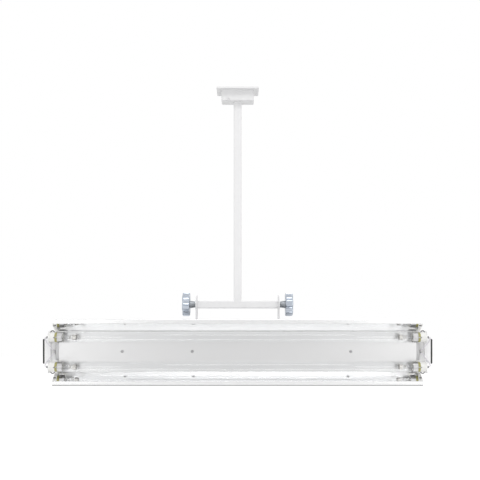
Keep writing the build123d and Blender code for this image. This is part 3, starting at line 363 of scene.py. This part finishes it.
KNOB_LOBES = 6
KNOB_RADIUS = 30 * MM
FLUTE_RADIUS = 11 * MM
FLUTE_DEPTH = 5 * MM
KNOB_HEAD = 19 * MM
HUB_LENGTH = 13.4 * MM
HUB_NOSE_RADIUS = 8 * MM
HUB_ROOT_RADIUS = 10 * MM
HUB_EDGE = 0.6 * MM
STUD_RADIUS = 5 * MM
STUD_DEPTH = 20 * MM
RIM_ROUND = 3 * MM
RIM_STEPS = 6
DISH_RADIUS = 15 * MM
DISH_DEPTH = 0.8 * MM
KNOB_TURN = {"left": 12, "right": 38}
KNOB_SEGMENTS = 180
HEAD_SLOT, HUB_SLOT = 0, 1


def lobed_radius(angle, inset):
    """Radius of the lobed outline, drawn in by inset, at an angle from the middle of a lobe."""
    pitch = 2 * pi / KNOB_LOBES
    off = (angle + pitch / 2) % pitch - pitch / 2
    to_flute = pitch / 2 - abs(off)
    reach = KNOB_RADIUS + FLUTE_RADIUS - FLUTE_DEPTH
    flute = FLUTE_RADIUS + inset
    radius = KNOB_RADIUS - inset
    if reach * abs(sin(to_flute)) < flute:
        near = reach * cos(to_flute) - (flute ** 2 - (reach * sin(to_flute)) ** 2) ** 0.5
        radius = min(radius, near)
    return radius


def knob_mesh(side):
    """One knob as rings along its axis, from the stud's bore round to the outer face."""
    low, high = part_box(f"{side}_knob")
    way = SIDES[side]
    nose = low.x if way > 0 else high.x
    face = nose + way * HUB_LENGTH
    outer = face + way * KNOB_HEAD
    axis_z = (low.z + high.z) / 2
    turn = radians(KNOB_TURN[side])
    bm = bmesh.new()

    def ring(x, radius_at):
        vertices = []
        for i in range(KNOB_SEGMENTS):
            angle = 2 * pi * i / KNOB_SEGMENTS
            radius = radius_at(angle)
            y, z = radius * sin(angle + turn), radius * cos(angle + turn)
            vertices.append(bm.verts.new((x, y, axis_z + z)))
        return vertices

    def circle(x, radius):
        return ring(x, lambda angle: radius)

    def lobes(x, inset):
        return ring(x, lambda angle: lobed_radius(angle, inset))

    bottom = nose + way * STUD_DEPTH
    bore_end = circle(bottom, STUD_RADIUS)
    fan(bm, bore_end, bm.verts.new((bottom, 0, axis_z)), HUB_SLOT)
    rings = [
        (bore_end, HUB_SLOT),
        (circle(nose, STUD_RADIUS), HUB_SLOT),
        (circle(nose, HUB_NOSE_RADIUS - HUB_EDGE), HUB_SLOT),
        (circle(nose + way * HUB_EDGE, HUB_NOSE_RADIUS), HUB_SLOT),
        (circle(face, HUB_ROOT_RADIUS), HUB_SLOT),
    ]
    slopes = [pi / 2 * step / RIM_STEPS for step in range(RIM_STEPS + 1)]
    for slope in slopes:
        place = face + way * RIM_ROUND * (1 - cos(slope))
        rings.append((lobes(place, RIM_ROUND * (1 - sin(slope))), HEAD_SLOT))
    for slope in slopes:
        place = outer - way * RIM_ROUND * (1 - sin(slope))
        rings.append((lobes(place, RIM_ROUND * (1 - cos(slope))), HEAD_SLOT))
    rings.append((circle(outer, DISH_RADIUS), HEAD_SLOT))
    rings.append((circle(outer - way * DISH_DEPTH, DISH_RADIUS - 2 * DISH_DEPTH), HEAD_SLOT))
    for (first, _), (second, slot) in zip(rings, rings[1:]):
        ring_strip(bm, first, second, slot)
    fan(bm, rings[-1][0], bm.verts.new((outer - way * DISH_DEPTH, 0, axis_z)), HEAD_SLOT)
    return finish_mesh(f"{side}_knob_turned", bm, BLUED, HUB_METAL)


for side in SIDES:
    add_piece(f"{side}_knob_turned", knob_mesh(side), f"{side}_clamp_knob", f"{side}_knob")


# Lamp tubes: a thin skin of glass, drawn in to a neck at each end, and the cement that holds the caps

TUBE_SEGMENTS = 160
GLASS_RADIUS = 12.8 * MM
NECK_RADIUS = 12.2 * MM
NECK_INSET = 2.5 * MM
SHOULDER_INSET = 1.0 * MM
SHOULDER_LENGTH = 1.2 * MM
SHOULDER_STEPS = 6
CAP_LENGTH = 13.0 * MM
CAP_BORE_RADIUS = 12.38 * MM
CEMENT_LENGTH = 6.0 * MM
CEMENT_EDGE = 0.4 * MM
CEMENT_GAP = 0.05 * MM


def lamp_half(place):
    """Half of the length between the faces of a lamp's caps; the glass ends inside them."""
    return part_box(f"{place}_lamp_tube")[1].x + NECK_INSET


def tube_mesh(place):
    """Glass skin of one lamp, closed by a flat face at the end of each neck."""
    axis = centre(f"{place}_lamp_tube")
    half = lamp_half(place)
    body = half - CAP_LENGTH - SHOULDER_INSET
    end = half - NECK_INSET
    right = [(body, GLASS_RADIUS)]
    for step in range(1, SHOULDER_STEPS + 1):
        share = step / SHOULDER_STEPS
        drop = (1 - cos(pi * share)) / 2 * (GLASS_RADIUS - NECK_RADIUS)
        right.append((body + SHOULDER_LENGTH * share, GLASS_RADIUS - drop))
    right += [(end, NECK_RADIUS), (end, 0)]
    left = [(-x, radius) for x, radius in reversed(right)]
    bm = bmesh.new()
    lathe_x(bm, left + right, axis.y, axis.z, TUBE_SEGMENTS)
    return finish_mesh(f"{place}_glass_skin", bm, CLEAR_GLASS)


def cement_mesh(place):
    """Rings of basing cement between the neck and the caps, just inside the caps' rims."""
    axis = centre(f"{place}_lamp_tube")
    start = lamp_half(place) - CAP_LENGTH + CEMENT_EDGE
    stop = start + CEMENT_LENGTH
    thin = NECK_RADIUS + CEMENT_GAP
    section = [(start, CAP_BORE_RADIUS), (stop, CAP_BORE_RADIUS), (stop, thin), (start + CEMENT_EDGE, thin)]
    bm = bmesh.new()
    for way in BOTH_WAYS:
        profile = [(way * x, radius) for x, radius in section]
        rings = lathe_x(bm, profile, axis.y, axis.z, TUBE_SEGMENTS // 2)
        ring_strip(bm, rings[-1], rings[0])
    return finish_mesh(f"{place}_lamp_cement", bm, CEMENT)


for place in PLACES:
    add_piece(f"{place}_glass_skin", tube_mesh(place), f"{place}_lamp", f"{place}_lamp_tube", smooth=40)
    add_piece(f"{place}_lamp_cement", cement_mesh(place), f"{place}_lamp")


# Screws: domed heads with a cross recess and a rolled thread on the shank

SCREW_SEGMENTS = 32
HEAD_RADIUS_SHARE = 0.95
HEAD_HEIGHT_SHARE = 0.6
DOME_STEPS = 6
DOME_EDGE_SHARE = 0.35
DOME_POWER = 0.8
RECESS_WIDTH_SHARE = 0.24
RECESS_SPAN_SHARE = 1.05
RECESS_DEPTH_SHARE = 0.36
RECESS_OVERRUN_SHARE = 0.4
THREAD_PITCH_SHARE = 0.2
THREAD_DEPTH_SHARE = 0.06
BEVEL_SHARE = 0.02
BEVEL_ANGLE = 50


def screw_body(name, diameter, length, material):
    """A screw along -Z under its seat at z = 0, with a plain domed head."""
    radius = diameter / 2
    head = diameter * HEAD_RADIUS_SHARE
    height = diameter * HEAD_HEIGHT_SHARE
    profile = [(height, 0)]
    for step in range(1, DOME_STEPS + 1):
        slope = pi / 2 * step / DOME_STEPS
        rise = DOME_EDGE_SHARE + (1 - DOME_EDGE_SHARE) * cos(slope)
        profile.append((height * rise, head * sin(slope) ** DOME_POWER))
    profile += [(0.0, head), (0.0, radius)]
    pitch = diameter * THREAD_PITCH_SHARE
    groove = radius * (1 - THREAD_DEPTH_SHARE)
    for turn in range(max(1, int((length - radius / 2) / pitch))):
        profile += [(-pitch * (turn + 0.5), groove), (-pitch * (turn + 1), radius)]
    profile += [(-length, radius / 2), (-length, 0)]
    bm = bmesh.new()
    lathe_x(bm, profile, 0, 0, SCREW_SEGMENTS)
    bmesh.ops.rotate(bm, verts=bm.verts, matrix=Matrix.Rotation(-pi / 2, 3, "Y"))
    return finish_mesh(name, bm, material)


def cross_cutter(name, diameter):
    """Two crossed bars that stand in the head of a screw and reach out over it."""
    height = diameter * HEAD_HEIGHT_SHARE
    span = diameter * RECESS_SPAN_SHARE
    width = diameter * RECESS_WIDTH_SHARE
    depth = diameter * RECESS_DEPTH_SHARE
    overrun = height * RECESS_OVERRUN_SHARE
    place = Matrix.Translation((0, 0, height - depth / 2 + overrun / 2))
    bm = bmesh.new()
    for across, along in ((span, width), (width, span)):
        scale = Matrix.Diagonal((across, along, depth + overrun, 1))
        bmesh.ops.create_cube(bm, size=1, matrix=place @ scale)
    mesh = bpy.data.meshes.new(name)
    bm.to_mesh(mesh)
    bm.free()
    return mesh


def screw_mesh(name, diameter, length, material):
    """A screw whose head is cut with a cross, its edges softened."""
    holder = bpy.data.objects.new(name, screw_body(name, diameter, length, material))
    tool = bpy.data.objects.new(name + "_cross", cross_cutter(name + "_cross", diameter))
    for item in (holder, tool):
        bpy.context.scene.collection.objects.link(item)
    cut = holder.modifiers.new("recess", "BOOLEAN")
    cut.operation = "DIFFERENCE"
    cut.solver = "EXACT"
    cut.use_self = True
    cut.object = tool
    soft = holder.modifiers.new("edges", "BEVEL")
    soft.width = diameter * BEVEL_SHARE
    soft.limit_method = "ANGLE"
    soft.angle_limit = radians(BEVEL_ANGLE)
    result = evaluated_mesh(holder)
    for item in (holder, tool):
        bpy.data.objects.remove(item)
    return result


def screw_set(node, body, diameter, length, seats, turns, material):
    """The screws of one CAD node: a seat is a place and the way that the head looks, a turn the cross's."""
    name = node + "_cut"
    one = screw_mesh(name + "_one", diameter, length, material)
    bm = bmesh.new()
    for (place, way), turn in zip(seats, turns):
        start = len(bm.verts)
        bm.from_mesh(one)
        bm.verts.ensure_lookup_table()
        aim = Vector(way).to_track_quat("Z", "Y").to_matrix() @ Matrix.Rotation(radians(turn), 3, "Z")
        bmesh.ops.transform(bm, matrix=Matrix.Translation(place) @ aim.to_4x4(), verts=bm.verts[start:])
    mesh = bpy.data.meshes.new(name)
    bm.to_mesh(mesh)
    bm.free()
    mesh.materials.append(material)
    bpy.data.meshes.remove(one)
    add_piece(name, mesh, body, node, smooth=30)


# Places of the screws

BRACKET_SHEET = 1.5 * MM
EAR_SHEET = 3.0 * MM
LAMP_RISE = 37 * MM
CANOPY_SCREW_OFFSET = 23 * MM
CANOPY_SCREW_RISE = 5 * MM
REFLECTOR_SCREW_PLACES = (-290 * MM, -114 * MM, 284 * MM)
BRACKET_SCREW_OFFSET = 475 * MM
BRACKET_SCREW_RISE = 25 * MM
HOLDER_SCREW_OFFSET = 469.7 * MM
HOLDER_SCREW_REACH = 7 * MM
HOLDER_SCREW_STEP = 7.5 * MM
EAR_SCREW_OFFSET = 121.7 * MM
EAR_SCREW_DEPTH = 14 * MM

canopy_low, canopy_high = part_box("canopy_box")
housing_low, housing_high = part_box("housing_shell")
fixture_z = centre("housing_shell").z
sheet_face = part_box("reflector_back")[1].y - REFLECTOR_SHEET
bracket_face = housing_low.y - BRACKET_SHEET


def canopy_seats():
    """On the canopy's front and back walls, to either side of its middle."""
    for way in BOTH_WAYS:
        yield (way * CANOPY_SCREW_OFFSET, way * canopy_high.y, canopy_low.z + CANOPY_SCREW_RISE), (0, way, 0)


def reflector_seats():
    """Along the middle of the back sheet."""
    for x in REFLECTOR_SCREW_PLACES:
        yield (x, sheet_face, fixture_z), (0, -1, 0)


def bracket_seats():
    """On the face of each lamp bracket, above and below its middle."""
    for side in BOTH_WAYS:
        for way in BOTH_WAYS:
            place = (side * BRACKET_SCREW_OFFSET, bracket_face, fixture_z + way * BRACKET_SCREW_RISE)
            yield place, (0, -1, 0)


def holder_seats():
    """On the leg of each lamp bracket, above and below each lamp."""
    for side in BOTH_WAYS:
        for lamp in BOTH_WAYS:
            for way in BOTH_WAYS:
                z = fixture_z + lamp * LAMP_RISE + way * HOLDER_SCREW_STEP
                yield (side * HOLDER_SCREW_OFFSET, bracket_face - HOLDER_SCREW_REACH, z), (side, 0, 0)


def ear_seats():
    """On the feet of the ears, in front of and behind each."""
    for side in BOTH_WAYS:
        for way in BOTH_WAYS:
            yield (side * EAR_SCREW_OFFSET, way * EAR_SCREW_DEPTH, housing_high.z + EAR_SHEET), (0, 0, 1)


screw_set(
    "canopy_screws", "ceiling_bracket", diameter=4 * MM, length=6.5 * MM,
    seats=canopy_seats(), turns=(5, 45), material=ENAMEL,
)
screw_set(
    "reflector_screws", "fixture", diameter=4 * MM, length=7 * MM,
    seats=reflector_seats(), turns=(10, 40, 72), material=DULL_ZINC,
)
screw_set(
    "bracket_screws", "fixture", diameter=4 * MM, length=6.7 * MM,
    seats=bracket_seats(), turns=(-54, -12, 12, 54), material=ZINC,
)
screw_set(
    "holder_screws", "fixture", diameter=3 * MM, length=7.5 * MM,
    seats=holder_seats(), turns=(-46, 12, -12, 46) * 2, material=ZINC,
)
screw_set(
    "ear_screws", "fixture", diameter=5 * MM, length=9.2 * MM,
    seats=ear_seats(), turns=(-55, -25, 25, 55), material=ZINC,
)


# Grommet webs: the thin skin that the leads are pushed through

WEB_RADIUS = 4.55 * MM
WEB_HALF = 0.35 * MM
WEB_SEGMENTS = 48
LEAD_HOLE = 1.14 * MM
LEAD_HOLE_SEGMENTS = 24
LEAD_PITCH = 3.2 * MM


def loop_spline(curve, x, y, radius, count):
    """A closed round outline in a flat curve."""
    spline = curve.splines.new("POLY")
    spline.points.add(count - 1)
    for i, point in enumerate(spline.points):
        angle = 2 * pi * i / count
        point.co = (x + radius * cos(angle), y + radius * sin(angle), 0, 1)
    spline.use_cyclic_u = True


def web_mesh(side):
    """A disc with two lead holes, standing in the bore of one grommet."""
    low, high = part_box("lead_grommets")
    rim = (high.z - low.z) / 2
    place = Vector((SIDES[side] * (high.x - rim), (low.y + high.y) / 2, fixture_z))
    curve = bpy.data.curves.new(f"{side}_web_outline", "CURVE")
    curve.dimensions = "2D"
    curve.fill_mode = "BOTH"
    curve.extrude = WEB_HALF
    loop_spline(curve, 0, 0, WEB_RADIUS, WEB_SEGMENTS)
    for way in BOTH_WAYS:
        loop_spline(curve, 0, way * LEAD_PITCH / 2, LEAD_HOLE, LEAD_HOLE_SEGMENTS)
    holder = bpy.data.objects.new(f"{side}_web_outline", curve)
    bpy.context.scene.collection.objects.link(holder)
    mesh = evaluated_mesh(holder)
    bpy.data.objects.remove(holder)
    mesh.transform(Matrix.Translation(place) @ Matrix.Rotation(pi / 2, 4, "X"))
    mesh.materials.clear()
    mesh.materials.append(PALE_RUBBER)
    return mesh


for side in SIDES:
    add_piece(f"{side}_grommet_web", web_mesh(side), "fixture")


# Reflector wings: mirror flares with satin lips and hems, with painted shade in the bend between flare and
# lip and along the lower wing's bottom edge

BEND_RADIUS = 1.5 * MM
BEND_STEPS = 8
WING_ROOT = 51.5 * MM
FLANGE_DEPTH = 30 * MM
FLANGE_HALF_LENGTH = 449.3 * MM
MIRROR_START = 1.7 * MM
FLARE_REACH = 30 * MM
FLARE_RISE = 20 * MM
LIP_HEIGHT = 10.3 * MM
RETURN_REACH = 8 * MM
HEM_HEIGHT = 4 * MM
FLARE_CORNER, LIP_CORNER, RETURN_CORNER = 1, 2, 3
# The last two slots are painted shade: a dark bottom edge on the lower wing, and a darker line in the bend
# between flare and lip.
MIRROR_SLOT, LIP_SLOT, LOWER_EDGE_SHADE_SLOT, CREASE_SHADE_SLOT = 0, 1, 2, 3


def rounded(points, radius, steps):
    """A polyline whose inner corners are arcs: each point comes with the number of the corner before it."""
    line = [(Vector(points[0]), 0)]
    for i in range(1, len(points) - 1):
        corner = Vector(points[i])
        before = (Vector(points[i - 1]) - corner).normalized()
        after = (Vector(points[i + 1]) - corner).normalized()
        half = before.angle(after) / 2
        middle = corner + (before + after).normalized() * radius / sin(half)
        start = corner + before * radius / (sin(half) / cos(half)) - middle
        end = corner + after * radius / (sin(half) / cos(half)) - middle
        sweep = start.angle_signed(end)
        for step in range(steps + 1):
            arm = start.copy()
            arm.rotate(Matrix.Rotation(-sweep * step / steps, 2))
            line.append((middle + arm, i))
    line.append((Vector(points[-1]), len(points) - 1))
    return line


def wing_section():
    """The middle line of a wing as (depth, height) points, their corners, and where its mirror starts."""
    y = housing_low.y - REFLECTOR_SHEET / 2
    rim = y - FLARE_REACH
    lip = WING_ROOT + FLARE_RISE
    top = lip + LIP_HEIGHT
    back = rim + RETURN_REACH
    points = [
        (y, WING_ROOT - FLANGE_DEPTH),
        (y, WING_ROOT),
        (rim, lip),
        (rim, top),
        (back, top),
        (back, top - HEM_HEIGHT),
    ]
    line = rounded(points, BEND_RADIUS, BEND_STEPS)
    split = next(i for i, (_, corner) in enumerate(line) if corner == LIP_CORNER)
    start = Vector((y - MIRROR_START, WING_ROOT + MIRROR_START * FLARE_RISE / FLARE_REACH))
    line.insert(split, (start, FLARE_CORNER))
    return [point for point, _ in line], [corner for _, corner in line], split


def wing_offsets(spots, split):
    """Half of the sheet's thickness, square to the section at each of its points."""
    offsets = []
    for i in range(len(spots)):
        along = spots[min(i + 1, len(spots) - 1)] - spots[max(i - 1, 0)]
        if i == split:
            along = Vector((-FLARE_REACH, FLARE_RISE))
        offsets.append(Vector((along.y, -along.x)).normalized() * REFLECTOR_SHEET / 2)
    return offsets


def wing_mesh(place):
    """One wing as its bent section drawn along X, the flange cut away beyond the back sheet."""
    way = PLACES[place]
    half_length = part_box(f"{place}_reflector")[1].x
    centre_z = centre("reflector_back").z
    spots, corners, split = wing_section()
    offsets = wing_offsets(spots, split)
    bm = bmesh.new()

    def section(x, first):
        """The two faces of the sheet at one x, from a point of the section on."""
        rows = ([], [])
        for spot, offset in list(zip(spots, offsets))[first:]:
            for row, edge in zip(rows, (spot + offset, spot - offset)):
                row.append(bm.verts.new((x, edge.x, centre_z + way * edge.y)))
        return rows

    def slot_of(i):
        """Mirror on the flare, satin on the rest, painted shade as a darker line in the bend between flare
        and lip, and painted shade on the lower wing's outer bend.
        """
        if i == split:
            return MIRROR_SLOT
        if corners[i] == corners[i + 1] == LIP_CORNER:
            return CREASE_SHADE_SLOT
        # Painted shade: the lower wing's bottom edge is dark, as if in its own shadow; the upper wing keeps
        # the lip metal there.
        if corners[i] == corners[i + 1] == RETURN_CORNER and place == "lower":
            return LOWER_EDGE_SHADE_SLOT
        return LIP_SLOT

    def skin(first, second, offset):
        """Both faces and the two long edges of the sheet between two sections."""
        for near, far in zip(first, second):
            for i in range(len(near) - 1):
                add_face(bm, (near[i], near[i + 1], far[i + 1], far[i]), slot_of(i + offset))
        for i in (0, len(first[0]) - 1):
            add_face(bm, (first[0][i], first[1][i], second[1][i], second[0][i]), LIP_SLOT)

    def cap(rows, stop):
        """The sheet's cut edge at a section, up to a point of it."""
        for i in range(stop):
            add_face(bm, (rows[0][i], rows[0][i + 1], rows[1][i + 1], rows[1][i]), LIP_SLOT)

    whole = {side: section(side * FLANGE_HALF_LENGTH, 0) for side in BOTH_WAYS}
    ends = {side: section(side * half_length, split) for side in BOTH_WAYS}
    skin(whole[-1], whole[1], 0)
    for side in BOTH_WAYS:
        skin([row[split:] for row in whole[side]], ends[side], split)
        cap(whole[side], split)
        cap(ends[side], len(ends[side][0]) - 1)
    return finish_mesh(f"{place}_wing", bm, BRIGHT, LIP_METAL, LOWER_EDGE_SHADE_METAL, CREASE_SHADE_METAL)


for place in PLACES:
    add_piece(f"{place}_wing", wing_mesh(place), "fixture", f"{place}_reflector", smooth=25)


# Studio floor and world

PAPER = (0.55, 0.55, 0.55)
PAPER_SHADE = 0.99
PAPER_LIFT = 0.58
PAPER_ROUGHNESS = 0.9
PAPER_GLOSS = 0.1
PAPER_SCALE = 0.6
FLOOR_DEPTH = -1.25
FLOOR_HALF = 6.0
WHITE = (1, 1, 1, 1)
WORLD_LIGHT = 0.82


def seen_rays(tree):
    """1 for rays that see the studio, straight, mirrored or through glass, and 0 for light that it sheds."""
    rays = tree.nodes.new("ShaderNodeLightPath")
    total = rays.outputs["Is Camera Ray"]
    for other in ("Is Glossy Ray", "Is Transmission Ray"):
        either = tree.nodes.new("ShaderNodeMath")
        either.operation = "MAXIMUM"
        tree.links.new(total, either.inputs[0])
        tree.links.new(rays.outputs[other], either.inputs[1])
        total = either.outputs[0]
    return total


def paper_material():
    """Plain pale paper; its lift is light that only the camera, mirrors and glass see."""
    material, tree, shader = new_material("floor_paper")
    shader.inputs["Roughness"].default_value = PAPER_ROUGHNESS
    shader.inputs["Specular IOR Level"].default_value = PAPER_GLOSS
    slow = noise(tree, PAPER_SCALE)
    tree.links.new(ramp(tree, slow, tint(PAPER, PAPER_SHADE), tint(PAPER, 1.0)), shader.inputs["Base Color"])
    seen = tree.nodes.new("ShaderNodeMath")
    seen.operation = "MULTIPLY"
    seen.inputs[1].default_value = PAPER_LIFT
    tree.links.new(seen_rays(tree), seen.inputs[0])
    shader.inputs["Emission Color"].default_value = WHITE
    tree.links.new(seen.outputs[0], shader.inputs["Emission Strength"])
    return material


def lay_floor():
    """A wide sheet of paper well under the fixture."""
    corners = [(x * FLOOR_HALF, y * FLOOR_HALF, FLOOR_DEPTH) for x, y in ((-1, -1), (1, -1), (1, 1), (-1, 1))]
    mesh = bpy.data.meshes.new("studio_floor")
    mesh.from_pydata(corners, [], [range(len(corners))])
    mesh.materials.append(paper_material())
    floor = bpy.data.objects.new("studio_floor", mesh)
    bpy.context.scene.collection.objects.link(floor)


def light_world():
    """White where it is seen, and a little under white as light."""
    world = bpy.data.worlds.new("studio")
    bpy.context.scene.world = world
    world.use_nodes = True
    tree = world.node_tree
    strength = tree.nodes.new("ShaderNodeMapRange")
    strength.inputs["To Min"].default_value = WORLD_LIGHT
    strength.inputs["To Max"].default_value = 1.0
    tree.links.new(seen_rays(tree), strength.inputs["Value"])
    background = tree.nodes["Background"]
    background.inputs["Color"].default_value = WHITE
    tree.links.new(strength.outputs[0], background.inputs["Strength"])


lay_floor()
light_world()


# Studio lamps

LAMP_COLOUR = (1.0, 0.995, 0.985)
FIXTURE_AIM = (0, 0, -0.45)
KEY_LIGHT = (0.2, -1.9, 2.2)
BACK_LIGHT = (0.4, 2.3, 1.5)
SIDE_LIGHT = (1.1, -1.95, -0.4)
SIDE_AIM = (0.6, 0, -0.66)
FLOOR_LIGHT = (0, -0.40, -1.0)


def softbox(name, place, aim, size, watts):
    """A rectangular area lamp that looks at a point."""
    lamp = bpy.data.lights.new(name, "AREA")
    lamp.shape = "RECTANGLE"
    lamp.size, lamp.size_y = size
    lamp.energy = watts
    lamp.color = LAMP_COLOUR
    holder = bpy.data.objects.new(name, lamp)
    bpy.context.scene.collection.objects.link(holder)
    holder.location = place
    holder.rotation_euler = (Vector(aim) - Vector(place)).to_track_quat("-Z", "Y").to_euler()


def mirrored(place, way):
    """A place put on one side of the fixture's middle."""
    x, y, z = place
    return way * x, y, z


softbox("key_light", KEY_LIGHT, FIXTURE_AIM, size=(2.0, 1.2), watts=24)
for side, way in SIDES.items():
    softbox(f"{side}_light", mirrored(SIDE_LIGHT, way), mirrored(SIDE_AIM, way), size=(0.45, 1.0), watts=3.2)
softbox("floor_light", FLOOR_LIGHT, (*FLOOR_LIGHT[:2], FLOOR_DEPTH), size=(1.8, 0.5), watts=4.8)
softbox("back_light", BACK_LIGHT, FIXTURE_AIM, size=(1.8, 1.2), watts=16)


# Camera

CAMERA_PLACE = (0.006, -1.847, -0.5045)
SENSOR_WIDTH = 36
LENS = 54.2
LENS_SHIFT = 0.10
FAR_CLIP = 60

camera = bpy.data.cameras.new("camera")
camera.sensor_width = SENSOR_WIDTH
camera.lens = LENS
camera.shift_y = LENS_SHIFT
camera.clip_end = FAR_CLIP
view = bpy.data.objects.new("camera", camera)
view.location = CAMERA_PLACE
view.rotation_euler = (pi / 2, 0, 0)
bpy.context.scene.collection.objects.link(view)
bpy.context.scene.camera = view
bpy.context.scene.view_settings.view_transform = "Standard"
